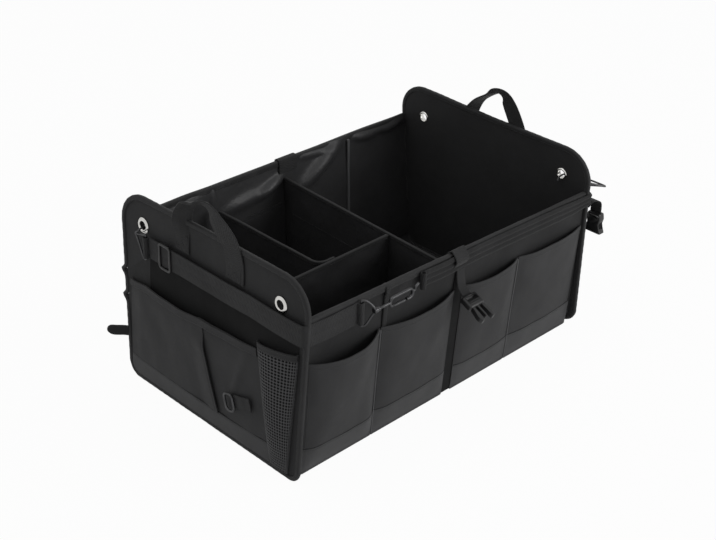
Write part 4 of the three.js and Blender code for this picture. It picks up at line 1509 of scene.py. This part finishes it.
@dataclass
class LeftPockets:
    """Two overlapping pockets and a netted pocket on the left end."""

    top: float = 176.0
    rear: float = -175.0
    bow: float = 11.0
    band_top: float = 38.0
    cloth: float = 1.6
    net_top: float = 190.0
    net_hem: float = 9.0
    net_columns: int = 18
    net_rows: int = 38
    net_thread: float = 1.04
    net_thickness: float = 0.7

    def slit(self, v: float) -> float:
        """Where the rear pocket's free side lies at height v."""
        return 1.0 + 0.29 * (149.0 - v)

    def net_middle(self, v: float) -> float:
        """The middle of the netted pocket at height v."""
        return 161.0 - 14.0 * v / self.net_top

    def net_half(self, v: float) -> float:
        """Half the width of the netted pocket at height v."""
        return 18.5 + 23.5 * v / self.net_top

    def net_side(self, v: float) -> float:
        """The rear side of the netted pocket at height v."""
        return self.net_middle(v) - self.net_half(v)

    def sheets(self) -> list[PocketSheet]:
        """The rear and the fore pocket sheet, which bow out as one."""
        span = (fixed(self.rear), lambda v: self.net_side(v) - 2.5)
        return [
            PocketSheet(
                span[0], lambda v: self.slit(v) + 3, self.bow, self.top, proud_end=4.4, seed=41, span=span,
                proud_below=142.0, fall=self.fall, folds=(Fold((-165, 160), (-110, 90), 1.6, 18),),
            ),
            PocketSheet(
                lambda v: self.slit(v) - 4, span[1], self.bow - 1.8, self.top, seed=41, span=span,
                fall=self.fall, folds=(Fold((79, 131), (56, 66), 2.2, 6), Fold((92, 168), (70, 110), 1.8, 9)),
            ),
        ]

    def fall(self, u: float) -> float:
        """How far the pockets' top edge falls below its full height at u."""
        return 4.6 * smooth(2, -48, u) + 6.0 * smooth(-126, -172, u)

    def pockets(self) -> list[Run]:
        """Both cloth pockets, the rear one lapping over the fore one."""
        parts = []
        for i, sheet in enumerate(self.sheets()):
            place = sheet.surface(LEFT, self.band_top + 0.8, sheet.top)
            width = sheet.end(100) - sheet.start(100)
            parts.append(thick_sheet(f"lap_{i}", 80 - 30 * i, 60, place, (width, 138), self.cloth))
        whole = PocketSheet(
            fixed(self.rear), lambda v: self.net_side(v) - 2.5, self.bow, self.top, seed=41, fall=self.fall
        )
        hem = whole.surface(LEFT, self.top - 11.0, self.top + 0.6, 1.5)
        parts.append(thick_sheet("hem", 110, 5, hem, (280, 12), 2.6))
        piece = gather("left_pocket_cloth", parts)
        dress(piece, POCKET, ["left_pocket"])
        lap = self.sheets()[0].surface(LEFT, self.band_top, 146.0)
        return [level_run(hem, 0.2), upright_run(lap, 0.975)]

    def band(self) -> list[Run]:
        """The base band of the end."""
        start, end = self.rear + 1, 138.0
        low = 2.0 + GAP + 6.0

        def place(s: float, t: float) -> Vector:
            v = low + (self.band_top - low) * t
            corner = FOOT_RADIUS - 8.3
            cut_in = corner - math.sqrt(max(corner ** 2 - max(corner - (v - low), 0.0) ** 2, 0.0))
            a = start + cut_in - 1
            u = a + (end - a) * s
            bowl = 7.0 * math.sin(math.pi * min(max(s, 0), 1)) ** 0.7 * smooth(-6, 60, v)
            return LEFT.at(u, v, GAP + 1.4 + bowl + 0.5 * crumple(u, v, 50, 47) * smooth(0, 0.2, t))

        piece = thick_sheet("left_base_band_cloth", 120, 18, place, (end - start, 32), self.cloth)
        dress(piece, BAND, ["left_base_band"])
        return [level_run(place, 0.93, 0.01, 0.99, 90)]

    def shade_sheets(self) -> None:
        """Painted shade on the panel behind the pockets, up to the strap: a near-black sheet, and a less dark
        one at the rear.
        """

        def place(s: float, t: float) -> Vector:
            v = 30.0 + 193.0 * t
            u = -130.5 + (half_width(v) - 9.5 + 131.0) * s
            return LEFT.at(u, v, 0.25)

        def rear(s: float, t: float) -> Vector:
            v = 160.0 + (62.0 - 46.0 * s) * t
            return LEFT.at(-131.0 - (half_width(v) - 9.5 - 131.0) * s, v, 0.22)

        # Painted shade: near-black where the pockets' mouths and the strap shade the panel, less dark towards
        # the rear edge, where the shade is lighter.
        dress(thick_sheet("left_backing_cloth", 20, 20, place, (310, 193), 0.2), PAINTED_SHADE)
        dress(thick_sheet("left_rear_backing", 12, 12, rear, (52, 62), 0.12), SHADED_SHELL)

    def net_place(self, low: float, high: float, extra: float = 0.0) -> Place:
        """The netted pocket's surface, part of a flattened cone drawn in at its foot."""

        def place(s: float, t: float) -> Vector:
            v = low + (high - low) * t
            angle = math.pi * (1 - s)
            foot = min(1.0, math.sqrt(max(v - 2.0, 0.0) / 44.0))
            half = self.net_half(v)
            flatness = 0.38 - 0.18 * smooth(80, 190, v)
            bulge = half * flatness * math.sin(angle) ** 0.9 * foot
            u = min(self.net_middle(v) + half * math.cos(angle), half_width(v) - 5.5)
            rise = 15.0 * smooth(0.1, 1.0, s) * v / self.net_top
            return LEFT.at(u, v + rise, GAP + 1.0 + extra + bulge)

        return place

    def net(self) -> None:
        """A knitted net with a round-cornered hole in every cell."""
        place = self.net_place(9.0, self.net_top - self.net_hem)
        net = cloth_grid("mesh_pocket_net", self.net_columns, self.net_rows, place, (100, 168))
        take_up(net)
        bpy.ops.object.mode_set(mode="EDIT")
        bpy.ops.mesh.select_mode(type="FACE")
        bpy.ops.mesh.select_all(action="SELECT")
        bpy.ops.mesh.inset(
            thickness=self.net_thread / 2 * MM, use_individual=True, use_relative_offset=False,
            use_even_offset=True,
        )
        bpy.ops.mesh.delete(type="FACE")
        bpy.ops.object.mode_set(mode="OBJECT")
        finish_with(net, "SOLIDIFY", thickness=self.net_thickness * MM, offset=0.0)
        finish_with(net, "SUBSURF", levels=1, render_levels=1)
        smooth_faces(net, 1.6)
        dress(net, NET, ["mesh_pocket"])

    def net_edges(self) -> list[Run]:
        """The net's hem and the tape down its rear side."""
        place = self.net_place(self.net_top - self.net_hem, self.net_top, 0.5)
        hem = thick_sheet("net_hem", 40, 6, place, (100, 13), 1.8)
        line = [LEFT.at(self.net_side(v) + 1.5, v, 1.6 + 1.2 * math.sin(v / 60)) for v in range(8, 190, 6)]
        side = swept("net_side", along_line(line, LEFT.along), oval(2.6, 1.5, 12, 2.6))
        dress(gather("mesh_hem_tape", [hem, side]), NET_TAPE, ["mesh_hem"])
        return [level_run(place, 0.18), level_run(place, 0.8)]

    def build(self) -> None:
        """Makes and dresses the pockets of the left end."""
        runs = [*self.pockets(), *self.band(), *self.net_edges()]
        self.shade_sheets()
        self.net()
        dress(sewn("left_pocket_stitches", runs), THREAD)


# Insert


@dataclass
class Insert:
    """Three dividers standing on the board and a low panel against the back wall."""

    top: float = 222.0
    thickness: float = 3.6
    foot: float = 7.9
    cross_x: float = 4.0
    lean: float = 0.045
    long_y: float = -58.0
    short_x: float = -138.0
    bend: float = 16.0

    def cross_place(self, face: float) -> Place:
        """One face of the cross divider, which leans a little along its length."""

        def place(s: float, t: float) -> Vector:
            z = self.foot + (self.top - self.foot) * t
            y = (2 * s - 1) * (room_half(z) - 0.8 - 7 * smooth(26, 8, z))
            x = self.cross_x + self.lean * y + 1.3 * crumple(y, z, 80, 53) * smooth(1.0, 0.9, t)
            seam = 0.9 * math.exp(-(((z - 167) / 2.2) ** 2)) * smooth(10, 22, y)
            return Vector((x + face * (self.thickness / 2 + seam), y, z))

        return place

    def long_place(self, face: float) -> Place:
        """One face of the long divider."""

        def place(s: float, t: float) -> Vector:
            z = self.foot + (self.top - self.foot) * t
            left = GAP + 0.8 - wall_end(z)
            right = self.cross_x + self.lean * self.long_y - self.thickness / 2 - 1.4
            x = left + (right - left) * s
            slack = 2.6 * crumple(x, z, 70, 59) + 0.8 * crumple(x, z, 28, 63)
            y = self.long_y + 5.0 * (s - 0.5) + slack * smooth(0, 0.1, t) * smooth(1.0, 0.9, t)
            return Vector((x, y + face * self.thickness / 2, z))

        return place

    def short_line(self) -> list[Vector]:
        """The short divider seen from above, from the back wall to its turned-in front end."""
        half = self.thickness / 2
        rear = room_half(self.foot) - 8
        front = self.long_y + half + 1.8 + half + 2.0
        turn = front + self.bend
        line = [Vector((self.short_x, rear + (turn - rear) * i / 24, 0)) for i in range(24)]
        for i in range(11):
            angle = math.pi * (1 + 0.5 * i / 10)
            x = self.short_x + self.bend * (1 + math.cos(angle))
            line.append(Vector((x, turn + self.bend * math.sin(angle), 0)))
        line.extend(Vector((self.short_x + self.bend + x, front, 0)) for x in (5, 9, 14))
        return line

    def slab(
        self, name: str, place: Callable[[float], Place], columns: int, rows: int, size: Pair
    ) -> bpy.types.Object:
        """A closed slab between two faces, which share one line at their rims."""
        middle = place(0.0)
        return thick_sheet(name, columns, rows, middle, size, self.thickness, 0.0)

    def bead(self, name: str, line: Sequence[Vector], node: str) -> list[Run]:
        """The tape folded over a divider's top edge."""
        half = self.thickness / 2 + 0.7
        arch = half_round(0.0, half, 0.2, 1.1)
        section = [(half, -4.6), *arch, (-half, -4.6), (-half + 0.4, -5.0), (half - 0.4, -5.0)]
        stations = []
        for station in along_line(line, Z.cross((line[-1] - line[0]).normalized())):
            stations.append(Station(station.centre, station.side, Z))
        dress(swept(name, stations, section), DIVIDER_TAPE, [node])
        return [
            [(s.centre + s.side * half * face - Z * 3.2, s.side * face) for s in stations] for face in (-1, 1)
        ]

    def cross(self) -> list[Run]:
        """The divider from the front wall to the back wall."""
        slab = self.slab("cross_divider_cloth", self.cross_place, 90, 50, (360, 214))
        dress(slab, LINING, ["cross_divider"])
        middle = self.cross_place(0.0)
        line = [middle(0.004 + 0.992 * i / 60, 1.0) for i in range(61)]
        seam = [
            (Vector((self.cross_x + self.lean * y - self.thickness / 2 - 0.9, y, 167.0)), -X)
            for y in (14.0 + 150.0 * i / 40 for i in range(41))
        ]
        return [*self.bead("cross_divider_tape", line, "cross_divider_binding"), seam]

    def long(self) -> list[Run]:
        """The divider from the left end to the cross divider."""
        slab = self.slab("long_divider_cloth", self.long_place, 80, 50, (290, 214))
        dress(slab, LINING, ["long_divider"])
        middle = self.long_place(0.0)
        line = [middle(0.004 + 0.992 * i / 50, 1.0) for i in range(51)]
        return self.bead("long_divider_tape", line, "long_divider_binding")

    def short(self) -> list[Run]:
        """The loose divider with its rounded front end."""
        line = self.short_line()
        top = self.top - 2

        def place(s: float, t: float) -> Vector:
            point = line[round(s * (len(line) - 1))]
            z = self.foot + (top - self.foot) * t
            sway = 1.1 * crumple(point.y, z, 70, 61) * smooth(0, 0.2, t)
            return point + Vector((sway if s < 0.6 else 0.0, 0, z))

        slab = thick_sheet("short_divider_cloth", len(line) - 1, 44, place, (260, 212), self.thickness, 0.0)
        dress(slab, LINING, ["short_divider"])
        raised = [place(i / (len(line) - 1), 1.0) + Z * 0.6 for i in range(len(line))]
        ahead = headings(raised)
        half = self.thickness / 2 + 0.6
        arch = [(half * math.cos(a), 0.4 + 1.2 * math.sin(a)) for a in (math.pi * i / 8 for i in range(9))]
        section = [(half, -4.4), *arch, (-half, -4.4), (-half + 0.4, -4.8), (half - 0.4, -4.8)]
        stations = [Station(p, Z.cross(a).normalized(), Z) for p, a in zip(raised, ahead)]
        dress(swept("short_divider_tape", stations, section), DIVIDER_TAPE, ["short_divider_binding"])
        return [[(s.centre + s.side * half * f - Z * 3.0, s.side * f) for s in stations] for f in (-1, 1)]

    def back_panel(self) -> list[Run]:
        """The insert's low panel against the back wall."""
        low, high = self.foot + 14, 178.0
        start, end = 2.2 - self.cross_x, -self.short_x - 2.2

        def place(s: float, t: float) -> Vector:
            u, v = start + (end - start) * s, low + (high - low) * t
            rise = 4.0 * smooth(end, start, u) * smooth(0.7, 1.0, t)
            slack = 0.5 + 0.5 * crumple(u, v, 45, 67)
            return BACK.at(u, v + rise, -WALL - GAP - 0.4 - max(slack, 0.0))

        panel = thick_sheet("insert_back_panel_cloth", 44, 44, place, (end - start, high - low), 2.4)
        dress(panel, LINING, ["insert_back_panel"])
        back = level_run(place, 0.965)
        return [[(point - BACK.normal * 2.4, -BACK.normal) for point, _ in back]]

    def build(self) -> None:
        """Makes and dresses the insert."""
        runs = [*self.cross(), *self.long(), *self.short(), *self.back_panel()]
        dress(sewn("insert_stitches", runs), THREAD)


# Straps and fittings


@dataclass
class Tab:
    """A short strap folded over a rim."""

    name: str
    node: str
    wall: WallFrame
    start: float
    end: float
    outside: float
    depth: float
    bulge: float = 0.0

    def build(self) -> None:
        """Folds, sweeps and dresses the tab."""
        thickness = 1.8
        inside = -WALL - GAP - 1.5 - GAP - thickness / 2
        outside = self.outside + GAP + thickness / 2
        top = RIM_HEIGHT + GAP + thickness / 2
        foot = RIM_HEIGHT - self.depth
        middle = (inside + outside) / 2
        path = [(inside, foot), (inside - self.bulge * 0.3, (foot + top) / 2), (inside, top - 2.4)]
        path += [(middle - (middle - inside) * 0.62, top - 0.2), (middle, top + self.bulge * 0.35)]
        path += [(middle + (outside - middle) * 0.62, top - 0.2), (outside, top - 2.4)]
        path += [(outside + self.bulge * 0.5, (foot + top) / 2), (outside, foot)]
        centre = (self.start + self.end) / 2
        line = curve_through([self.wall.at(centre, v, w) for w, v in path], 5)
        width = self.end - self.start
        stations = along_line(line, self.wall.along)
        strap = swept(f"{self.name}_webbing", stations, flat_section(width, thickness, 10))
        dress(strap, WEBBING, [self.node])


def plan_line(points: Sequence[Pair], radius: float, z: float, spacing: float = 5.0) -> list[Vector]:
    """A line seen from above through two straight runs and one rounded corner between them."""
    (ax, ay), (cx, cy), (bx, by) = points
    corner = Vector((cx, cy))
    back = (Vector((ax, ay)) - corner).normalized()
    fore = (Vector((bx, by)) - corner).normalized()
    start, end = corner + back * radius, corner + fore * radius
    line = [Vector((ax, ay)), *(Vector(p) for p in straight((ax, ay), tuple(start), spacing))]
    for i in range(9):
        t = i / 8
        line.append(start * (1 - t) ** 2 + corner * 2 * t * (1 - t) + end * t * t)
    line += [*(Vector(p) for p in straight(tuple(end), (bx, by), spacing)), Vector((bx, by))]
    return [Vector((p.x, p.y, z)) for p in line]


@dataclass
class Straps:
    """The two hooked webbing straps with their hooks and slider."""

    webbing: float = 1.8
    left_low: float = 219.0
    left_width: float = 34.0
    left_x: float = 302.04
    left_rear: float = 130.0
    left_end: float = -205.0
    front_low: float = 226.0
    front_width: float = 26.0
    front_start: float = -84.0
    front_y: float = 199.2
    right_x: float = 302.6
    right_end: float = -181.0
    corner: float = 9.0
    loop: float = 3.55
    loop_out: float = 4.0
    wire: float = 1.6

    def eye(self, name: str, x: float, y: float, low: float, high: float) -> bpy.types.Object:
        """A loop of webbing round a hook's bar, standing upright."""
        stations = []
        for i in range(24):
            angle = TAU * i / 24
            radial = Vector((math.cos(angle), math.sin(angle), 0))
            stations.append(Station(Vector((x, y, (low + high) / 2)) + radial * self.loop, Z, radial))
        return swept(name, stations, flat_section(high - low, self.webbing, 6), True)

    def left_strap(self) -> None:
        """The webbing along the left end, round the corner to the snap hook."""
        low, high = self.left_low, self.left_low + self.left_width
        x, y = -self.left_x - self.webbing / 2, -self.front_y - self.webbing / 2
        corners = ((x, self.left_rear - 2), (x, y), (self.left_end - 2, y))
        line = plan_line(corners, self.corner, (low + high) / 2)
        stations = []
        for point, ahead in zip(line, headings(line)):
            out = ahead.cross(Z).normalized() * -1
            wave = 0.7 * crumple(point.x - point.y, 0, 60, 71)
            stations.append(Station(point + out * max(wave, -0.2) + Z * wave, Z, out))
        parts = [
            swept("run", stations, flat_section(self.left_width, self.webbing, 10)),
            self.eye("rear", -self.left_x - self.loop_out, self.left_rear, low, high),
            self.eye("fore", self.left_end, -self.front_y - self.loop_out, low, high),
        ]
        dress(gather("left_strap_webbing", parts), WEBBING, ["left_strap"])

    def front_strap(self) -> None:
        """The pleated webbing along the front rim, round the right corner."""
        low, high = self.front_low, self.front_low + self.front_width
        x, y = self.right_x + self.webbing / 2, -self.front_y - self.webbing / 2
        corners = ((self.front_start + 2, y), (x, y), (x, self.right_end - 2))
        line = plan_line(corners, self.corner, (low + high) / 2)
        stations = []
        for point, ahead in zip(line, headings(line)):
            out = ahead.cross(Z).normalized()
            wave = 0.8 * crumple(point.x, 3, 70, 73)
            sag = 5.0 * smooth(0, 290, point.x)
            gather_in = 1 - 0.22 * smooth(225, 292, point.x)
            centre = point + out * (0.5 + abs(wave)) + Z * (wave - sag)
            stations.append(Station(centre, Z, out, (gather_in, 1 + 0.5 * (1 - gather_in))))
        section = flat_section(self.front_width, self.webbing, 30, 1.9, 3)
        parts = [
            swept("run", stations, section),
            self.eye("corner", self.right_x + self.loop_out, self.right_end, low + 2, high - 2),
            self.eye("start", self.front_start, -self.front_y - self.loop_out, low, high),
        ]
        dress(gather("front_strap_webbing", parts), RIM_WEBBING, ["front_strap"])

    def hook(self, name: str, node: str, side: int, bar: Pair, levels: Pair, apex: Vector) -> None:
        """A wire hook: a bar in the webbing, two arms to an apex and a tip through the eyelet."""
        bar_x, bar_y = bar
        low, high = levels
        hole_y = math.copysign(147.0, bar_y)
        hole_z = 262.0 - 6.0 + self.wire + 0.7
        face = half_length(262.0)
        middle = (low + high) / 2
        turn_x = side * min(abs(apex.x), face + 17)
        at = lambda x, y, z: Vector((x, y, z))
        radius = self.wire * 0.92
        parts = [
            bent_wire("bar", [at(side * bar_x, bar_y, level) for level in (low, middle, high)], radius),
            bent_wire("tip", [
                at(side * bar_x, bar_y, high), apex, at(turn_x, hole_y, hole_z - 2),
                at(side * (face + 5), hole_y, hole_z), at(side * (face - 8), hole_y, hole_z),
                at(side * (face - 13), hole_y, hole_z - 6),
            ], radius, 8),
            bent_wire("arm", [
                at(side * bar_x, bar_y, low), at(side * bar_x, bar_y + 7, low),
                at(turn_x, bar_y + 16, middle), apex,
            ], radius, 8),
        ]
        dress(gather(name, parts), COATED_WIRE, [node])

    def slider(self) -> None:
        """The three-bar slider on the left strap."""
        low, high = self.left_low - 0.5, self.left_low + self.left_width + 0.5
        inner, outer = self.left_x - 0.5, self.left_x + self.webbing + 0.5
        y, half = 88.0, 13.0
        x_front = -(outer + 1.3)
        z_low, z_high = low - 1.5, high + 1.5

        def flat(a: float, b: float, w: float) -> Vector:
            return Vector((x_front - w, y - a, b))

        corners = [(-half + 1.5, z_low), (half - 1.5, z_low), (half - 1.5, z_high), (-half + 1.5, z_high)]
        path = rounded_path(corners, [4.0] * 4, 6, 4.0)
        line = [flat(a, b, 0) for a, b in path]
        parts = [swept("rim", ring_round(line, -X), oval(2.0, 1.5, 12, 3.2), True)]
        rows = [Vector((1.2 - inner, y, z_low + (z_high - z_low) * i / 8)) for i in range(9)]
        parts.append(swept("bar", along_line(rows, Y), oval(2.0, 0.9, 12, 3.0)))
        for z in (z_low, z_high):
            rows = [Vector((x_front - 0.2 + (-(inner - 1.2) - x_front) * i / 4, y, z)) for i in range(5)]
            parts.append(swept("cheek", along_line(rows, Y), oval(4.2, 1.4, 12, 3.2)))
        dress(gather("slider_moulded", parts), PLASTIC, ["slider"], "slider")

    def build(self) -> None:
        """Makes and dresses straps, hooks and slider."""
        self.left_strap()
        self.front_strap()
        self.hook(
            "rear_hook_wire", "rear_hook", -1, (self.left_x + self.loop_out, self.left_rear),
            (self.left_low - 2, self.left_low + self.left_width + 3), Vector((-self.left_x - 4, 153, 250)),
        )
        self.hook(
            "corner_hook_wire", "corner_hook", 1, (self.right_x + self.loop_out, self.right_end),
            (self.front_low - 2, self.front_low + self.front_width + 3),
            Vector((self.right_x + 41, -196, 241)),
        )
        self.slider()


@dataclass
class SnapHook:
    """The swivel snap hook: an eye in the strap, a turning body and a sprung gate."""

    x: float = -188.0
    y: float = -213.5
    z: float = 239.0
    bar_u: float = -17.0
    eye_middle: float = -3.0
    eye_reach: float = 19.5
    eye_back: float = -10.3
    ring_start: float = 25.5
    ring_end: float = 73.5
    half: float = 8.5
    wall: float = 3.8
    gate_u: float = 34.5
    gate_length: float = 26.0

    def at(self, u: float, v: float, w: float = 0.0) -> Vector:
        """The point at (u, v, w), u along the front and w out of it."""
        return Vector((self.x + u, self.y - w, self.z + v))

    def rod(self, name: str, rings: Sequence[Pair]) -> bpy.types.Object:
        """A turned rod on the hook's axis, from places along it and radii there."""
        stations = [Station(self.at(u, 0), Y, Z, (r, r)) for u, r in rings]
        return swept(name, stations, oval(1.0, 1.0, 20))

    def eye(self) -> None:
        """The wire eye and the barrel that the body turns in."""
        radius = 1.55
        levels = [self.eye_middle + k * self.eye_reach for k in (-1, -0.3, 0.3, 1)]
        bar = [self.at(self.bar_u, v, self.eye_back) for v in levels]
        parts = [bent_wire("bar", bar, radius)]
        for sign in (-1, 1):
            parts.append(bent_wire("arm", [
                self.at(self.bar_u, self.eye_middle + sign * self.eye_reach, self.eye_back),
                self.at(self.bar_u + 6, self.eye_middle + sign * (self.eye_reach - 1), self.eye_back * 0.7),
                self.at(self.bar_u + 13, sign * 8, self.eye_back * 0.25), self.at(-1, sign * 2.2, 0),
            ], radius))
        parts.append(self.rod("barrel", [
            (-3.5, 2.6), (-3.4, 3.6), (-2.8, 4.15), (-1.6, 4.2), (-1.3, 3.7), (-0.7, 3.7), (-0.4, 4.2),
            (1.6, 4.2), (2.6, 4.15), (3.3, 3.7), (3.5, 2.6),
        ]))
        dress(gather("snap_eye_wire", parts), COATED_WIRE, ["snap_eye"])

    def body(self) -> None:
        """The turning body: shank, open ring and curled nose."""
        middle = self.half - self.wall / 2
        path = rounded_path(
            block((self.ring_start + 1.9, -middle), (self.ring_end - 1.9, middle)),
            [6.2] * 4, 10, 3.0,
        )
        mouth = self.gate_u + self.gate_length - 1.3
        opened = [(u, v) for u, v in path if not (v < -middle + 0.3 and self.gate_u - 2.6 < u < mouth)]
        first = next(i for i, (u, v) in enumerate(opened) if v < -middle + 0.3 and u >= mouth - 0.5)
        ordered = [*opened[first:], *opened[:first]]
        line = [self.at(u, v) for u, v in ordered]
        ring = swept("ring", along_line(line, -Y), oval(2.45, 1.85, 14, 2.6))
        shank = self.rod("shank", [
            (3.85, 2.0), (3.9, 3.1), (4.6, 3.4), (6.6, 3.4), (7.6, 2.7), (9.0, 2.2),
            (24.0, 2.1), (26.5, 2.6), (28.0, 2.4),
        ])
        nose = bent_wire("nose", [
            self.at(self.ring_end - 2.5, 0), self.at(self.ring_end + 2, 2), self.at(self.ring_end + 4, 6),
            self.at(self.ring_end + 9, 9),
        ], 1.9)
        dress(gather("snap_body_cast", [ring, shank, nose]), COATED_WIRE, ["snap_body"], "snap_hook")

    def gate(self) -> None:
        """The sprung gate, ribbed for the thumb."""
        middle = -self.half + self.wall / 2
        start, end = self.gate_u - 1.7, self.gate_u + self.gate_length - 1.9
        stations = []
        for i in range(53):
            share = i / 52
            u = start + (end - start) * share
            ends = math.sqrt(max(1 - abs(2 * share - 1) ** 8, 0.02))
            ribs = 1 + 0.11 * (math.sin(share * TAU * 10) > 0.1) * (0.12 < share < 0.88)
            stations.append(Station(self.at(u, middle), Y, Z, (ends * ribs * 0.94, ends * ribs * 0.94)))
        gate = swept("snap_gate_ribbed", stations, oval(2.4, 1.7, 14, 2.6))
        dress(gate, COATED_WIRE, ["snap_gate"], "gate")

    def build(self) -> None:
        """Makes and dresses the snap hook."""
        self.eye()
        self.body()
        self.gate()


@dataclass(frozen=True)
class BuckleFrame:
    """Axes of one buckle half: x across it, y towards its tip."""

    foot: Vector
    across: Vector
    ahead: Vector

    def at(self, x: float, y: float, z: float = 0.0) -> Vector:
        """The point at (x, y, z), z out of the buckle's face."""
        a, b = self.across.normalized(), self.ahead.normalized()
        return self.foot + a * x + b * y + a.cross(b) * z


@dataclass
class Buckles:
    """Side-release buckle halves on short webbing tails, and the loose ring of the left end."""

    width: float = 30.0
    length: float = 22.0
    thickness: float = 10.5
    tail_width: float = 20.0
    prong: float = 24.0
    socket: float = 34.0

    def tail(self, name: str, node: str, place: BuckleFrame, points: Sequence[Pair], width: float) -> None:
        """A short webbing tail through (sideways, ahead) points."""
        line = curve_through([place.at(0, x, y) for x, y in points], 6)
        line = [place.at(0, 0, 0) + (p - place.at(0, 0, 0)) for p in line]
        stations = along_line(line, place.across.normalized())
        dress(swept(name, stations, flat_section(width, 1.8, 8)), WEBBING, [node])

    def tongue(self, place: BuckleFrame) -> None:
        """The folded webbing tongue at the rear corner, rounded at its tip."""
        stations = []
        for i in range(25):
            y = -1.0 + 32.0 * i / 24
            round_off = math.sqrt(max(1 - max((y - 21.0) / 10.2, 0.0) ** 2, 0.04))
            lift = 0.6 * math.sin(y / 5.0) + 2.0 * smooth(10, 31, y)
            centre = place.at(lift, y, 0.0)
            stations.append(Station(centre, place.across.normalized(), place.at(0, 0, 1) - place.foot,
                                    (round_off, 0.75 + 0.25 * round_off)))
        dress(swept("rear_tail_webbing", stations, flat_section(18, 4.6, 8)), WEBBING, ["rear_tail"])

    def plug(self, place: BuckleFrame) -> None:
        """The plug half: a slotted body, two sprung prongs and a guide."""
        w, half = self.width / 2, self.thickness / 2
        outline = rounded_path(block((-w, 0), (w, self.length)), [3.5] * 4, 5, 40)
        body = plate("plug", outline, place.at, -half, half, 3.0)
        reach = self.tail_width / 2 + 0.5
        cut(body, plate("slot", block((-reach, 3.0), (reach, 8.0)), place.at, -half - 1, half + 1, 0.0))
        parts = [body]
        foot, tip = self.length - 1, self.length + self.prong
        side = [
            (w - 8, foot), (w - 4, foot), (w - 1.6, foot + 10), (w, tip - 9), (w - 0.4, tip - 4),
            (w - 2.2, tip), (w - 6.4, tip), (w - 7.2, tip - 6),
        ]
        for shape in ([(-x, y) for x, y in reversed(side)], side):
            parts.append(plate("prong", shape, place.at, 1 - half, half - 1, 0.8))
        guide = [(-2, foot), (2, foot), (1.6, tip - 5), (0, tip - 4), (-1.6, tip - 5)]
        parts.append(plate("guide", guide, place.at, 1.5 - half, half - 1.5, 0.6))
        for y in (12.0, 15.0, 18.0):
            rib = block((5 - w, y), (w - 5, y + 1.2))
            parts.append(plate("rib", rib, place.at, -half - 0.5, half + 0.5, 0.3))
        dress(gather("front_buckle_moulded", parts), PLASTIC, ["front_buckle"])

    def socket_half(self, place: BuckleFrame) -> None:
        """The socket half: a waisted hollow body with an open mouth."""
        w, half, long = self.width / 2, self.thickness / 2 + 1, self.socket
        right = [
            (w - 4, 0), (w - 2.6, 5), (w - 2, 10), (w - 3, 14), (w - 4, 18), (w - 2.6, 24), (w - 0.4, 30),
            (w + 1, long),
        ]
        outline = [(-w + 4, 0), *right, *((-x, y) for x, y in reversed(right[1:]))]
        body = plate("socket", outline, place.at, -half, half, 1.4)
        cut(body, plate("slot", block((4.5 - w, 3.0), (w - 4.5, 7.5)), place.at, -half - 1, half + 1, 0.0))
        mouth = block((2 - w, 16.0), (w - 2, long + 2))
        cut(body, plate("mouth", mouth, place.at, 1.6 - half, half - 1.6, 0.0))
        parts = [body]
        for y in (long - 3.6, long - 1.6):
            for z in (-half, half):
                rib = block((1 - w, y), (w - 1, y + 1.0))
                parts.append(plate("rib", rib, place.at, z - 0.5, z + 0.5, 0.25))
        dress(gather("right_buckle_moulded", parts), PLASTIC, ["right_buckle"])

    def side_ring(self) -> None:
        """The loose ring and its webbing tail on the left end."""
        def at(u: float, v: float, w: float) -> Vector:
            return Vector((-316.6 - w, -u, v))

        path = rounded_path([(58, 58.5), (75.5, 63.5), (68.5, 89.5), (51, 84.5)], [7.0] * 4, 8, 4)
        line = [at(u, v, 2.0) for u, v in path]
        ring = swept("side_ring_wire", ring_round(line, -X), oval(1.9, 1.9, 12), True)
        dress(ring, COATED_WIRE, ["side_ring"])
        start, end = at(67.5, 77.0, -1.4), at(104, 87.0, -1.4)
        rows = [start.lerp(end, i / 10) + X * 0.5 * math.sin(i * 0.9) for i in range(11)]
        side = (end - start).normalized().cross(X).normalized()
        tail = swept("side_tail_webbing", along_line(rows, side), flat_section(21, 1.9, 8))
        dress(tail, WEBBING, ["side_tail"])

    def build(self) -> None:
        """Makes and dresses the buckles, their tails and the ring."""
        down = -Z
        self.tail("front_tail_webbing", "front_tail", BuckleFrame(Vector((3, -196.2, 222)), -X, down),
                  [(0, 0), (14, 1), (28, 5), (38, 15)], 17)
        self.plug(BuckleFrame(Vector((3, -211.7, 183.3)), X, Vector((0, -0.9, -0.42))))
        self.tail("right_tail_webbing", "right_tail", BuckleFrame(Vector((301.6, -189, 221)), -Y, down),
                  [(2, 0), (-4, 12), (1, 27), (9, 34), (25, 35)], 21)
        self.socket_half(BuckleFrame(Vector((336, -190, 196)), -Y, down))
        self.tongue(BuckleFrame(Vector((-307.4, 187.2, 70)), Z, Y - X))
        self.side_ring()


def main() -> None:
    """Builds the studio and every sub-assembly."""
    logging.basicConfig(level=logging.INFO, format="%(name)s: %(message)s")
    Studio().build()
    EndWall(
        "left", LEFT, 1, knots=((-191.5, 172), (-188.5, 130)), front_foot=16.0, toe=13.0, rear_rise=-4.0,
        shade_sleeves=True, handle_peak=-6.0, arch=1.0, handle_width=37.0,
    ).build()
    EndWall("right", RIGHT, -1, toe=11.0, rear_rise=4.5, handle_top=356.0, handle_peak=9.0).build()
    Shell().build()
    FrontPockets().build()
    LeftPockets().build()
    Insert().build()
    Tab("back_tab", "back_tab", BACK, -38, 0, GAP + 1.5, 22, 1.5).build()
    Tab("front_tab", "front_tab", FRONT, -20, 7, 5.4, 19, 9.0).build()
    Tab("rim_tab", "rim_tab", FRONT, -154, -146, GAP + 1.5, 12, 1.0).build()
    Straps().build()
    SnapHook().build()
    Buckles().build()


if __name__ == "__main__":
    main()
